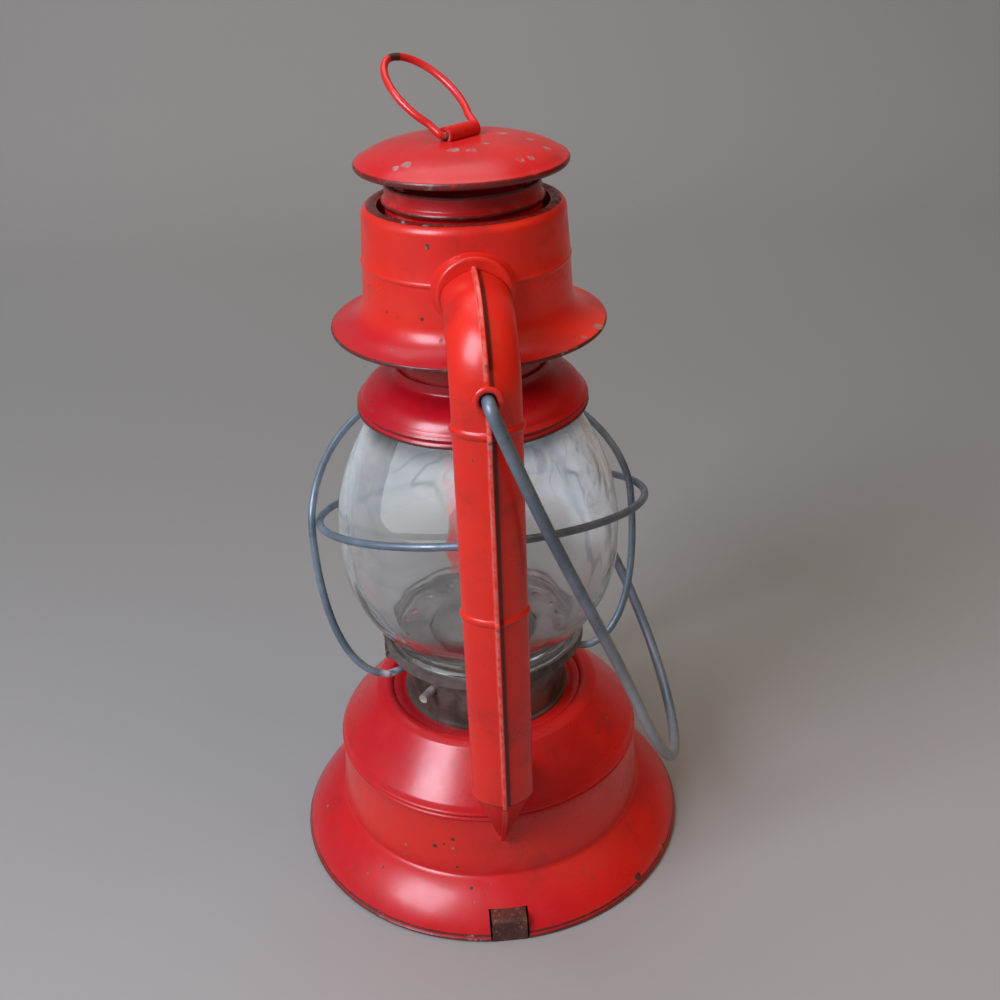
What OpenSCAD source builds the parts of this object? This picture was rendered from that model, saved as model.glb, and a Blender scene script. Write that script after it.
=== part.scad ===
// Small tubular kerosene lantern: a spun tank on a flared skirt, a burner under a glass globe,
// a chimney that lifts through the hood, and two air tubes that lead from the hood down to the tank.
// The origin is the middle of the base on the ground, +Z is up, and the air tubes stand on +X and -X.

/* [Sheet and clearances] */
// Thickness of the sheet metal
sheet = 0.8; // [0.6:0.1:1.0]
// Gap between pieces that are soldered or pressed together
seat = 0.1; // [0.05:0.01:0.15]
// Gap between pieces that move on each other
run = 0.3; // [0.2:0.05:0.4]

/* [Base and tank] */
// Radius of the base over its rolled hem
base_r = 58.5; // [56:0.5:62]
// Radius of the rolled hem
hem_r = 1.2; // [1.0:0.1:1.5]
// Height of the flared skirt
skirt_h = 14.6; // [12:0.2:17]
// Radius of the tank wall above the skirt
wall_r = 46; // [45:0.5:47.5]
// How far the tank wall draws in up to its seam
wall_draw = 1.5; // [0.5:0.1:2]
// Height of the tank wall from the skirt to the seam
wall_h = 19.4; // [17:0.2:23]
// Height of the shoulder from the seam to its crest
shoulder_h = 16; // [14:0.5:18]
// Radius of the shoulder's crest
crest_r = 30; // [29:0.5:31.5]
// Depth of the well inside the crest
well_h = 2; // [1.5:0.1:3]
// Width of the notch in the hem
notch_w = 11; // [8:0.5:14]
// Height of the notch in the hem
notch_h = 7.8; // [6:0.2:9]
// Depth of the notch in the hem
notch_d = 7.5; // [6.5:0.5:8.5]

/* [Filler] */
// Direction of the filler round the tank, in degrees
filler_turn = 213; // [205:1:225]
// Distance of the filler from the middle
filler_r = 38.5; // [37.5:0.5:39.5]
// Lean of the filler, in degrees
filler_lean = 48; // [43:1:50]
// Outer radius of the filler neck
neck_r = 7; // [6.5:0.1:7.4]
// Height of the filler neck over the lower edge of its cap
neck_h = 5; // [4:0.5:6]
// Height of the filler cap
filler_cap_h = 7.4; // [6.8:0.2:9]

/* [Burner] */
// Height of the burner collar
collar_h = 18.7; // [17:0.5:21]
// Radius of the burner cone
cone_r = 15.5; // [14.5:0.1:16.5]
// Height of the burner cone
cone_h = 10; // [8:0.5:12]
// Width of the wick
wick_w = 10; // [8:0.5:12]
// Thickness of the wick
wick_t = 2; // [1.5:0.1:2.5]
// Height of the wick shaft over the well
shaft_h = 10.5; // [9:0.5:12]
// Radius of the wick shaft
shaft_r = 1.3; // [1.0:0.1:1.5]
// Radius of the wick wheels over their teeth
wheel_r = 3; // [2.6:0.1:3.4]
// Direction of the wick shaft, in degrees
burner_turn = -35; // [-45:1:-30]
// Radius of the wick knob
knob_r = 6.5; // [5:0.25:7]
// Distance of the wick knob's outer face from the middle
knob_reach = 44; // [42:0.5:46]

/* [Globe] */
// Radius of the globe plate
plate_r = 29.3; // [28.8:0.1:30.2]
// Height of the plate's rim over its floor
plate_rim_h = 2.6; // [2:0.2:3.2]
// Largest radius of the globe
globe_r = 39.5; // [37:0.5:41]
// Play of the globe's foot in its plate
foot_play = 1.5; // [1.2:0.1:2]
// Height of the globe
globe_h = 75.5; // [72:0.5:80]
// Wall of the globe
glass = 2; // [1.6:0.1:2.4]
// Thickness of the guard wires
guard_d = 2.1; // [1.8:0.1:2.4]
// Radius of the guard ring
guard_r = 45.5; // [44.5:0.1:45.7]
// Tilt of the guard ring, in degrees
guard_tilt = 16; // [10:0.5:18]
// Turn of the guard about the globe, in degrees
guard_turn = 6; // [0:1:12]

/* [Chimney] */
// Radius of the bell's rim
bell_r = 31; // [30.5:0.1:32]
// Height of the bell
bell_h = 10.7; // [9:0.2:13]
// How far the bell reaches down over the globe
bell_cover = 2.2; // [1.5:0.1:3]
// How far the bell's rim stands out past the globe's upper mouth
bell_over = 4; // [3.5:0.1:4.5]
// Radius of the chimney
chimney_r = 19.5; // [18.5:0.25:20]
// Radius of the cap
cap_r = 26.6; // [25:0.2:28]
// Rise of the cap's dome
cap_rise = 5.3; // [4:0.1:6]
// Height of the cap's rim over the hood
cap_gap = 9.4; // [8:0.2:12]
// Thickness of the lift ring's wire
ring_d = 1.9; // [1.6:0.1:2.2]
// Length of the lift ring from its pivot
ring_l = 28; // [26:0.5:32]
// Width of the lift ring
ring_w = 19.5; // [17.5:0.5:21]
// Length of the saddle that holds the lift ring
saddle_l = 10; // [8:0.5:11]
// Lean of the lift ring at rest, in degrees
ring_lean = 55.5; // [40:0.5:60]
// Direction of the lift ring's pivot, in degrees
ring_turn = 131; // [90:1:160]

/* [Hood] */
// Radius of the brim
brim_r = 35.7; // [34.5:0.1:37]
// Height of the brim over the bell's rim
brim_gap = 22.6; // [21.5:0.2:26]
// Radius of the hood's side above the brim
hood_r = 27; // [26.5:0.1:27.5]
// How far the hood's side draws in up to its top
hood_draw = 1.3; // [0.6:0.1:1.6]
// Height of the hood
hood_h = 32.1; // [31:0.5:35]
// Radius of the hole in the hood's top
hood_hole_r = 21.6; // [21.3:0.1:22]

/* [Air tubes] */
// Distance of the tubes' middle from the lantern's middle
tube_x = 52; // [51.8:0.1:53]
// Width of a tube
tube_w = 16.3; // [15:0.1:17]
// Depth of a tube
tube_d = 13; // [12:0.1:13.2]
// Radius of the bend at the middle of the tube
bend_r = 16; // [14:0.5:18]
// Height of the tubes' upper run over the brim
tube_rise = 16.6; // [15.5:0.1:17.5]
// Height of the folded seam on the tube
fin_h = 1.2; // [0.8:0.1:1.4]
// Thickness of the folded seam
fin_t = 1.2; // [0.8:0.1:1.6]
// Height of the lower edge of the tubes over the seam of the tank
tube_foot_h = 16; // [14:0.5:18]
// Radius of the round collars on the hood
tube_collar_r = 9.4; // [9:0.1:10]

/* [Bail] */
// Thickness of the bail wire
bail_d = 3.3; // [2.8:0.1:3.6]
// Reach of the bail from its pivot
bail_l = 151.5; // [149:0.5:156]
// Half of the bail's width at its grip
bail_half_w = 41; // [40:0.5:46]
// Height of the bail's pivot over the brim
bail_pivot_h = 3.1; // [2.5:0.1:4]
// Lean of the hanging bail, in degrees
bail_lean = 22.5; // [22:0.1:24]
// Twist of the bail from side to side, as a share of its length
bail_skew = 0.028; // [0:0.001:0.03]

/* [Hidden] */
$fn = 72;
eps = 0.01;

// Colours
red = [0.78, 0.06, 0.05];
brown = [0.24, 0.20, 0.17];
wire_grey = [0.42, 0.49, 0.54];
rust = [0.35, 0.18, 0.11];
steel = [0.62, 0.60, 0.56];

// How far the plate reaches out past the collar
plate_over = 5.8;

// Levels and radii
seam_z = skirt_h + wall_h;
seam_r = wall_r - wall_draw;
collar_r = plate_r - plate_over;
mouth_r = plate_r - sheet - foot_play;
top_r = bell_r - bell_over;
crest_z = seam_z + shoulder_h;
well_z = crest_z - well_h;
well_r = collar_r + 1.6;
collar_top = well_z + collar_h;
plate_z = collar_top + run;
globe_z = plate_z + sheet + seat;
globe_top = globe_z + globe_h;
bell_z = globe_top - bell_cover;
bell_top = bell_z + bell_h;
brim_z = bell_z + brim_gap;
hood_top = brim_z + hood_h;
cap_z = hood_top + cap_gap;
cap_top = cap_z + cap_rise;
tube_z = brim_z + tube_rise;
bend_z = tube_z - bend_r;
tube_low = seam_z + tube_foot_h;
pivot_z = brim_z + bail_pivot_h;
shaft_z = well_z + shaft_h;

// Small features
bead = 0.55;
seam_bead = 0.5;
bead_w = 1.6;
flat_cut = 0.2;
wick_gap = 0.3;
wick_wall = 0.6;
cone_wall = 0.6;
wick_shift = wick_t / 2 + 0.2 + wheel_r;
tooth = 0.6;
wheel_w = 1.6;
teeth = 12;
pin_r = 1;
plate_drop = 0.6;
plate_holes = 20;
plate_holes_r = plate_r - 5.8;
knuckle_r = 1.7;
knuckle_l = 7;
ear_t = 1.2;
hinge_y = -(plate_r - knuckle_r + run);
hinge_z = collar_top - knuckle_r - 1;
eyelet_r = 3.5;
eyelet_h = 1;
eyelet_x = tube_x + tube_d / 2 + seat;
bail_bore_r = bail_d / 2 + run;
barrel_r = bail_bore_r + sheet;
pan_drop = 9;
roll_r = 1;
chimney_bead = 0.9;
chimney_over = 5;
leg_w = 5;
leg_l = 8;

// Points along an arc round c, from angle a to angle b
function arc(c, r, a, b, n = 8) = [for (i = [0:n]) c + r * [cos(a + (b - a) * i / n), sin(a + (b - a) * i / n)]];

// Points along a cubic curve with two end points and two handles
function bow(p, q, r, s, n = 8) =
    [for (i = [0:n]) let (t = i / n, k = 1 - t) k * k * k * p + 3 * k * k * t * q + 3 * k * t * t * r + t * t * t * s];

function unit(v) = v / norm(v);
function flip(list) = [for (i = [len(list) - 1:-1:0]) list[i]];
function left_of(p, q) = unit([p[1] - q[1], q[0] - p[0]]);

// The path moved to its left by a distance, with mitred corners
function beside(path, t) =
    [for (i = [0:len(path) - 1])
        let (a = left_of(path[max(i - 1, 0)], path[max(i, 1)]),
             b = left_of(path[min(i, len(path) - 2)], path[min(i + 1, len(path) - 1)]),
             m = unit(a + b))
        path[i] + m * t / max(m * a, 0.5)];

// Sheet metal spun along a path that runs up the outside
module spun(path, t = sheet) {
    rotate_extrude() polygon(concat(path, flip(beside(path, t))));
}

// The solid under a spun path, grown by a gap
module filled(path, gap) {
    grown = beside(path, -gap);
    rotate_extrude() polygon(concat([[0, grown[0][1]]], grown, [[0, grown[len(grown) - 1][1]]]));
}

// A rolled edge
module roll(r, z, radius = roll_r) {
    rotate_extrude() translate([r - radius, z]) circle(radius);
}

// Directions of the rings along a wire, each the last one turned as little as it can be
function carried(dirs, side, i = 0) =
    i == len(dirs) ? [] :
    let (s = unit(side - (side * dirs[i]) * dirs[i])) concat([s], carried(dirs, s, i + 1));

// A round wire swept along a path, with a first side direction that is square to its start
module wire(path, d, side, sides = 8) {
    last = len(path) - 1;
    dirs = [for (i = [0:last]) unit(path[min(i + 1, last)] - path[max(i - 1, 0)])];
    out = carried(dirs, side);
    points = [for (i = [0:last], k = [0:sides - 1])
        let (a = 360 * k / sides)
        path[i] + d / 2 * (cos(a) * out[i] + sin(a) * cross(dirs[i], out[i]))];
    walls = [for (i = [0:last - 1], k = [0:sides - 1], half = [0, 1])
        let (a = i * sides + k, b = i * sides + (k + 1) % sides)
        half == 0 ? [a, a + sides, b] : [b, a + sides, b + sides]];
    ends = [[for (k = [0:sides - 1]) k], [for (k = [sides - 1:-1:0]) last * sides + k]];
    polyhedron(points, concat(walls, ends));
}

// Tank and base

skirt_path = bow([base_r - 0.3, hem_r], [base_r - 2.6, skirt_h * 0.34], [wall_r + 4.2, skirt_h * 0.77],
                 [wall_r + 0.6, skirt_h - 0.3], 12);
wall_path = concat(
    bow([wall_r, skirt_h + 0.5], [wall_r - 0.1, skirt_h + 3], [seam_r, seam_z - 6], [seam_r, seam_z - bead_w], 4),
    [[seam_r + seam_bead, seam_z - bead_w / 2], [seam_r, seam_z]]);
shoulder_path = concat(
    [[seam_r + seam_bead, seam_z + bead_w / 2], [seam_r, seam_z + bead_w]],
    bow([seam_r - 0.2, seam_z + 2.4], [seam_r - 3.6, seam_z + 6.2], [crest_r + 5.9, crest_z - 4.2],
        [crest_r + 3, crest_z - 0.8], 12),
    arc([crest_r, crest_z - 2.2], 2.2, 60, 150, 6));
well_path = [[well_r + 0.5, well_z + 0.3], [well_r - 0.6, well_z], [collar_r - 5, well_z]];

module tank_form(gap) {
    filled(concat(skirt_path, wall_path, shoulder_path), gap);
}

module filler_frame() {
    rotate([0, 0, filler_turn])
        translate([filler_r, 0, filler_z])
            rotate([0, filler_lean, 0]) children();
}

// Height of the shoulder at the filler
filler_z = lookup(-filler_r, [for (p = shoulder_path) [-p[0], p[1]]]);

module hem() {
    difference() {
        roll(base_r, hem_r - flat_cut, hem_r);
        translate([0, 0, -hem_r]) cylinder(r = base_r + 1, h = hem_r);
    }
}

module tank_side() {
    color(red) difference() {
        union() {
            spun(concat(skirt_path, wall_path));
            hem();
        }
        translate([base_r - notch_d, -notch_w / 2, -eps]) cube([notch_d * 2, notch_w, notch_h]);
    }
}

module tank_top() {
    color(red) difference() {
        spun(concat([[seam_r, seam_z]], shoulder_path, well_path));
        filler_frame() translate([0, 0, -neck_h]) cylinder(r = neck_r + seat, h = neck_h * 3);
        for (turn = [0, 180]) rotate([0, 0, turn]) duct_hole();
    }
}

// The way for the air from a tube's foot through the shoulder
module duct_hole() {
    translate([duct_x, -duct_w / 2, duct_z]) cube([base_r, duct_w, duct_h]);
}
duct_w = tube_w * 0.55;
duct_h = tube_foot_h * 0.375;
duct_z = seam_z + tube_foot_h * 0.2125;
duct_x = tube_x - tube_d * 1.19;

module tank_bottom() {
    rise = 5;
    low = skirt_h + 1;
    draw = wall_draw * rise / wall_h;
    edge = wall_r - sheet - seat - wall_draw * 0.12;
    color(steel) spun(concat([[0, low], [edge - 3, low], [edge - 0.5, low + 0.2], [edge, low + 0.8],
                              [edge - draw, low + rise]]));
}

// The pan that parts the fuel below from the air above
module air_pan() {
    edge = seam_r - sheet - seat;
    low = seam_z - pan_drop / 2;
    hole = wick_w / 2 + wick_gap + wick_wall + 2;
    color(steel) difference() {
        spun([[hole, low], [edge - 2.5, low], [edge - 0.8, low + 0.4], [edge, low + 1.4], [edge, seam_z - bead_w]]);
        filler_frame() translate([0, 0, -neck_reach - 5]) cylinder(r = neck_r + seat, h = neck_reach);
    }
}

module base_clip() {
    clip_w = notch_w - 1.2;
    out = base_r - 0.4;
    inner = base_r - notch_d + 2;
    top = notch_h - 2 * seat;
    color(rust) rotate([90, 0, 0]) translate([0, 0, -clip_w / 2]) linear_extrude(clip_w)
        polygon([[out, 0.3], [out + 0.3, notch_h / 2], [out - 0.4, top - 0.8], [out - 1.2, top],
                 [inner, top], [inner, top - 1.2], [out - 1.9, top - 1.2],
                 [out - 1.2, notch_h / 2], [out - 1.2, 0.3]]);
}

// Filler

filler_cap_r = neck_r + run + 1.4;
// Height of the cap's lower edge, clear of the shoulder where it bulges most under the cap
cap_low = run + 0.1 + max([for (p = shoulder_path)
    let (out = p[0] - filler_r, up = p[1] - filler_z)
        if (abs(out * cos(filler_lean) - up * sin(filler_lean)) < filler_cap_r + 1)
            out * sin(filler_lean) + up * cos(filler_lean)]);
neck_top = cap_low + neck_h;
neck_reach = (filler_z - seam_z + pan_drop / 2 + 2) / cos(filler_lean);

module filler_neck() {
    color(steel) filler_frame() difference() {
        translate([0, 0, -neck_reach]) cylinder(r = neck_r, h = neck_reach + neck_top);
        translate([0, 0, -neck_reach - eps]) cylinder(r = neck_r - sheet, h = neck_reach + neck_top + 1);
    }
}

module filler_cap() {
    outer = filler_cap_r;
    color(red) filler_frame() translate([0, 0, cap_low]) difference() {
        rotate_extrude() polygon([[0, 0], [outer, 0], [outer, filler_cap_h - 1.6],
                                  [outer - 0.5, filler_cap_h - 0.5], [outer - 1.6, filler_cap_h], [0, filler_cap_h]]);
        translate([0, 0, -eps]) cylinder(r = neck_r + run, h = filler_cap_h - sheet);
        for (k = [0:23]) rotate([0, 0, k * 15]) translate([outer + 0.35, 0, -eps])
            cylinder(r = 0.6, h = filler_cap_h - 2, $fn = 16);
    }
}

module filler_gasket() {
    color("black") filler_frame() translate([0, 0, neck_top + run - seat])
        cylinder(r = neck_r + run - seat, h = filler_cap_h - sheet - neck_h - run);
}

// Burner

module burner_frame() {
    rotate([0, 0, burner_turn]) children();
}

module burner_collar() {
    foot = collar_r + 0.9;
    path = [[foot, well_z + seat], [foot, well_z + seat + sheet], [collar_r, well_z + seat + sheet + 0.2],
            [collar_r, collar_top - 1.2], [collar_r - 0.4, collar_top - 0.3], [collar_r - 1.2, collar_top],
            [cone_r - 3, collar_top]];
    color(brown) difference() {
        spun(path);
        burner_frame() translate([-base_r, -wick_shift, shaft_z]) rotate([0, 90, 0])
            cylinder(r = shaft_r + run, h = base_r * 2);
    }
}

module burner_floor() {
    hole = [wick_w + 2 * (wick_gap + wick_wall + seat), wick_t + 2 * (wick_gap + wick_wall + seat)];
    color(brown) difference() {
        translate([0, 0, well_z + sheet * 2]) cylinder(r = collar_r - sheet - seat, h = sheet);
        burner_frame() translate([-hole[0] / 2, -hole[1] / 2, well_z]) cube([hole[0], hole[1], 5]);
        for (k = [0:15]) rotate([0, 0, k * 22.5 + burner_turn + 11]) translate([collar_r * 0.72, 0, well_z])
            cylinder(r = 1.6, h = 5, $fn = 24);
    }
}

cone_path = concat(
    [[cone_r, collar_top + seat], [cone_r, collar_top + 1.8]],
    bow([cone_r - 0.2, collar_top + 2.6], [cone_r - 1, collar_top + cone_h * 0.55],
        [cone_r * 0.62, collar_top + cone_h * 0.8], [cone_r * 0.4, collar_top + cone_h - 0.5], 8),
    [[cone_r * 0.25, collar_top + cone_h], [0, collar_top + cone_h]]);

module burner_cone() {
    slot = [wick_w + 3, wick_t + 2.4];
    color(brown) difference() {
        spun(cone_path, cone_wall);
        burner_frame() translate([-slot[0] / 2, -slot[1] / 2, collar_top + 3]) cube([slot[0], slot[1], cone_h]);
    }
}

wick_top = collar_top + cone_h - 3.2;

module wick_tube() {
    inside = [wick_w + 2 * wick_gap, wick_t + 2 * wick_gap];
    outside = inside + 2 * [wick_wall, wick_wall];
    low = well_z + sheet;
    color(brown) burner_frame() difference() {
        translate([-outside[0] / 2, -outside[1] / 2, low]) cube([outside[0], outside[1], wick_top - 2 - low]);
        translate([-inside[0] / 2, -inside[1] / 2, low - 1]) cube([inside[0], inside[1], wick_top]);
        for (side = [-1, 1]) translate([side * wick_w * 0.28 - wheel_w / 2 - run, -wick_shift, shaft_z - wheel_r])
            cube([wheel_w + 2 * run, wick_shift, wheel_r * 2]);
    }
}

module wick() {
    color("ivory") burner_frame() translate([-wick_w / 2, -wick_t / 2, skirt_h + 8])
        cube([wick_w, wick_t, wick_top - skirt_h - 8]);
}

module wick_shaft() {
    color(steel) burner_frame() translate([-knob_reach + 2.5, -wick_shift, shaft_z]) rotate([0, 90, 0])
        cylinder(r = shaft_r, h = knob_reach - 2.5 + collar_r + 4.5);
}

module wick_wheels() {
    color(brown) burner_frame() for (side = [-1, 1])
        translate([side * wick_w * 0.28, -wick_shift, shaft_z]) rotate([0, 90, 0])
            translate([0, 0, -wheel_w / 2]) difference() {
                linear_extrude(wheel_w) polygon([for (k = [0:2 * teeth - 1])
                    (k % 2 == 0 ? wheel_r : wheel_r - tooth) * [cos(180 * k / teeth), sin(180 * k / teeth)]]);
                translate([0, 0, -eps]) cylinder(r = shaft_r + seat, h = wheel_w + 1);
            }
}

module wick_knob() {
    knob_t = 3;
    color(steel) burner_frame() translate([-knob_reach, -wick_shift, shaft_z]) rotate([0, 90, 0]) difference() {
        union() {
            rotate_extrude() polygon([[0, 0], [knob_r - 0.6, 0], [knob_r, 0.6], [knob_r, knob_t - 0.6],
                                      [knob_r - 0.6, knob_t], [0, knob_t]]);
            cylinder(r = shaft_r + 1.2, h = knob_t + 2.5);
        }
        translate([0, 0, 2.5 - seat]) cylinder(r = shaft_r + seat, h = 10);
        for (k = [0:17]) rotate([0, 0, k * 20]) translate([knob_r + 0.3, 0, -eps])
            cylinder(r = 0.7, h = knob_t + 1, $fn = 16);
    }
}

// Globe plate, its hinge, the globe and its guard

module hinge_ears() {
    ear_x = knuckle_l / 2 + run;
    color(brown) difference() {
        for (side = [-1, 1]) translate([side * (ear_x + ear_t / 2) - ear_t / 2, 0, 0]) union() {
            translate([0, hinge_y, hinge_z]) rotate([0, 90, 0]) cylinder(r = knuckle_r, h = ear_t);
            translate([0, hinge_y, hinge_z - knuckle_r]) cube([ear_t, -hinge_y - collar_r + 3, knuckle_r * 2]);
        }
        cylinder(r = collar_r + seat, h = collar_top);
        translate([-base_r, hinge_y, hinge_z]) rotate([0, 90, 0]) cylinder(r = pin_r + seat, h = base_r * 2);
    }
}

module hinge_pin() {
    half = knuckle_l / 2 + run + ear_t + 0.8;
    color(steel) translate([-half, hinge_y, hinge_z]) rotate([0, 90, 0]) cylinder(r = pin_r, h = half * 2);
}

module globe_plate() {
    hole_r = cone_r + 1;
    path = [[plate_r - sheet, plate_z - plate_drop], [plate_r, plate_z - plate_drop], [plate_r, plate_z + plate_rim_h],
            [plate_r - sheet, plate_z + plate_rim_h], [plate_r - sheet, plate_z + sheet], [hole_r, plate_z + sheet],
            [hole_r, plate_z], [plate_r - sheet, plate_z]];
    color(brown) difference() {
        union() {
            rotate_extrude() polygon(path);
            translate([-knuckle_l / 2, hinge_y, hinge_z]) rotate([0, 90, 0]) cylinder(r = knuckle_r, h = knuckle_l);
            translate([-knuckle_l / 2, hinge_y - knuckle_r, hinge_z])
                cube([knuckle_l, knuckle_r, plate_z - hinge_z + eps]);
        }
        translate([-base_r, hinge_y, hinge_z]) rotate([0, 90, 0]) cylinder(r = pin_r + seat, h = base_r * 2);
        for (k = [0:plate_holes - 1]) rotate([0, 0, (k + 0.3) * 360 / plate_holes])
            translate([plate_holes_r, 0, plate_z - 1]) cylinder(r = 1, h = 3, $fn = 16);
    }
}

globe_path = concat(
    [[mouth_r, globe_z], [mouth_r + 0.6, globe_z + 3]],
    bow([mouth_r + 1, globe_z + 4], [globe_r - 1.5, globe_z + globe_h * 0.19],
        [globe_r, globe_z + globe_h * 0.32], [globe_r, globe_z + globe_h * 0.45], 10),
    bow([globe_r - 0.1, globe_z + globe_h * 0.5], [globe_r - 0.6, globe_z + globe_h * 0.7],
        [top_r + 4, globe_top - 10], [top_r + 0.6, globe_top - 5], 10),
    [[top_r, globe_top - 4], [top_r, globe_top]]);

module globe() {
    color([0.85, 0.9, 0.92, 0.4]) spun(globe_path, glass);
}

guard_z = globe_z + globe_h * 0.55;

module guard_frame() {
    rotate([0, 0, guard_turn]) children();
}

// The bow passes outside the ring on one side and inside it on the other
guard_shift = guard_d / 2 + seat;

module guard_ring() {
    color(wire_grey) guard_frame() translate([0, guard_shift, guard_z]) rotate([0, -guard_tilt, 0])
        rotate_extrude() translate([guard_r, 0]) circle(d = guard_d);
}

// One half of the bow, from its hook under the plate out to the ring and up behind the globe's neck
neck_out = top_r + 9;
hook_z = plate_z - plate_drop - seat - guard_d / 2;
bow_half = concat(
    [[11.6, plate_r - 4.3, hook_z], [13, plate_r - 1.1, hook_z]],
    bow([13.4, plate_r + 0.4, hook_z + 0.3], [12.8, guard_r - 4, hook_z + 2.5],
        [6.5, guard_r, guard_z - 23], [1.5, guard_r, guard_z - 5], 10),
    bow([0.9, guard_r, guard_z - 3], [-2.5, guard_r, globe_top - 20],
        [1.8 - neck_out, neck_out * 0.92, globe_top - 11], [-neck_out, 0, globe_top - 9.5], 10));

module guard_bow() {
    other = [for (p = flip(bow_half)) [p[0], -p[1], p[2]]];
    path = concat(bow_half, [for (i = [1:len(other) - 1]) other[i]]);
    color(wire_grey) guard_frame() translate([0, -guard_shift, 0]) wire(path, guard_d, [0, 0, 1]);
}

// Air tubes

// A tube's section: an almond with a ridge along each seam
ridge = 1.3;
swell = 2;
function tube_section(gap) =
    [for (k = [0:31]) let (a = k * 360 / 32)
        [(tube_d / 2 + gap) * sign(cos(a)) * pow(max(1 - pow(abs(sin(a)), ridge), 0), 1 / swell),
         (tube_w / 2 + gap) * sin(a)]];

stub_end = hood_r - hood_draw - 3.5;

// A tube's outer form, from its lower edge round the bend into the hood
module tube_form(gap, low = tube_low, end = stub_end) {
    section = tube_section(gap);
    translate([tube_x, 0, low]) linear_extrude(bend_z - low) polygon(section);
    translate([tube_x - bend_r, 0, bend_z]) rotate([90, 0, 0])
        rotate_extrude(angle = 90) translate([bend_r, 0]) polygon(section);
    translate([tube_x - bend_r, 0, tube_z]) rotate([0, -90, 0])
        linear_extrude(tube_x - bend_r - end) polygon(section);
}

// The folded seam along the outside of a tube
module tube_fin() {
    inner = tube_d / 2 - sheet * 0.7;
    tall = tube_d / 2 + fin_h - inner;
    translate([tube_x + inner, -fin_t / 2, tube_low]) cube([tall, fin_t, bend_z - tube_low]);
    translate([tube_x - bend_r, 0, bend_z]) rotate([90, 0, 0])
        rotate_extrude(angle = 90) translate([bend_r + inner, -fin_t / 2]) square([tall, fin_t]);
    translate([collar_face + seat, -fin_t / 2, tube_z + inner])
        cube([tube_x - bend_r - collar_face - seat, fin_t, tall]);
}

// Bands where the halves of a tube are crimped
module tube_band(z) {
    translate([tube_x, 0, z - bead_w / 2]) linear_extrude(bead_w) polygon(tube_section(bead));
}

band_low = tube_low + (bend_z - tube_low) * 0.507;
band_high = bend_z - bend_r * 0.4;
collar_face = hood_r + 2;

module air_tube() {
    difference() {
        union() {
            tube_form(0);
            tube_band(band_low);
            tube_band(band_high);
        }
        tube_form(-sheet, tube_low - 1, stub_end - 1);
        translate([tube_x, 0, pivot_z]) rotate([0, 90, 0]) cylinder(r = barrel_r + seat, h = tube_d);
    }
    difference() {
        tube_fin();
        translate([tube_x, 0, pivot_z]) rotate([0, 90, 0]) cylinder(r = eyelet_r + seat, h = tube_d);
    }
}

module air_tube_right() {
    color(red) air_tube();
}

module air_tube_left() {
    color(red) mirror([1, 0, 0]) air_tube();
}

// A tube's foot: a socket in the tube, and a keel that runs down on to the tank
foot_inset = sheet / 2;
keel_z = seam_z - tube_foot_h * 0.31;
keel_w = 3;
socket_h = tube_foot_h / 2;
heel_x = tube_x - tube_d * 1.32;
heel_z = crest_z - tube_foot_h / 2;

module foot_block(gap, low) {
    hull() {
        translate([tube_x, 0, tube_low - eps]) linear_extrude(eps) polygon(tube_section(gap));
        translate([wall_r - keel_w * 2, -keel_w / 2 - gap, low]) cube([keel_w * 2.5 + gap, keel_w + 2 * gap, sheet]);
        translate([heel_x, -tube_w / 2 - gap + sheet, heel_z])
            cube([tube_foot_h / 2, tube_w + 2 * gap - 2 * sheet, tube_low - sheet * 2 - heel_z]);
    }
}

module tube_foot() {
    difference() {
        union() {
            foot_block(-foot_inset, keel_z);
            translate([tube_x, 0, tube_low]) linear_extrude(socket_h) polygon(tube_section(-sheet - seat));
            rotate([90, 0, 0]) translate([0, 0, -fin_t / 2]) linear_extrude(fin_t)
                polygon([[tube_x, tube_low], [tube_x + tube_d / 2 + fin_h, tube_low],
                         [tube_x + tube_d / 2 + fin_h / 2, tube_low - keel_w], [wall_r + sheet, keel_z - keel_w * 0.7],
                         [wall_r - keel_w, keel_z - keel_w * 0.7]]);
        }
        tank_form(seat);
        translate([tube_x, 0, tube_low - duct_h]) linear_extrude(duct_h + socket_h + eps)
            polygon(tube_section(-2 * sheet - seat));
        duct_hole_in_foot();
    }
}

module duct_hole_in_foot() {
    translate([duct_x, -duct_w / 2, duct_z]) cube([tube_x - duct_x, duct_w, tube_foot_h * 0.625]);
}

module tube_foot_right() {
    color(red) tube_foot();
}

module tube_foot_left() {
    color(red) mirror([1, 0, 0]) tube_foot();
}

// Hood

flare_z = brim_z + hood_h * 0.25;
hood_bead_z = brim_z + hood_h * 0.56;
hood_path = concat(
    bow([brim_r - 0.6, brim_z + 0.4], [brim_r - 4, brim_z + 1.6], [hood_r + 0.6, brim_z + 4],
        [hood_r, flare_z], 8),
    [[hood_r - hood_draw * 0.42, hood_bead_z - bead_w / 2], [hood_r - hood_draw * 0.4 + bead * 0.6, hood_bead_z],
     [hood_r - hood_draw * 0.46, hood_bead_z + bead_w / 2]],
    [[hood_r - hood_draw, hood_top - 4]],
    arc([hood_r - hood_draw - 2.8, hood_top - 2.8], 2.8, 10, 80, 6),
    [[hood_hole_r, hood_top - 0.3]]);

module hood() {
    color(red) difference() {
        union() {
            spun(hood_path);
            roll(brim_r, brim_z + 0.7, 0.7);
        }
        for (turn = [0, 180]) rotate([0, 0, turn]) tube_form(seat);
    }
}

// Turned-down edges of the hood's floor, at its rim and around the chimney
floor_rim = 4;
floor_lip = 2.6;

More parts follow.
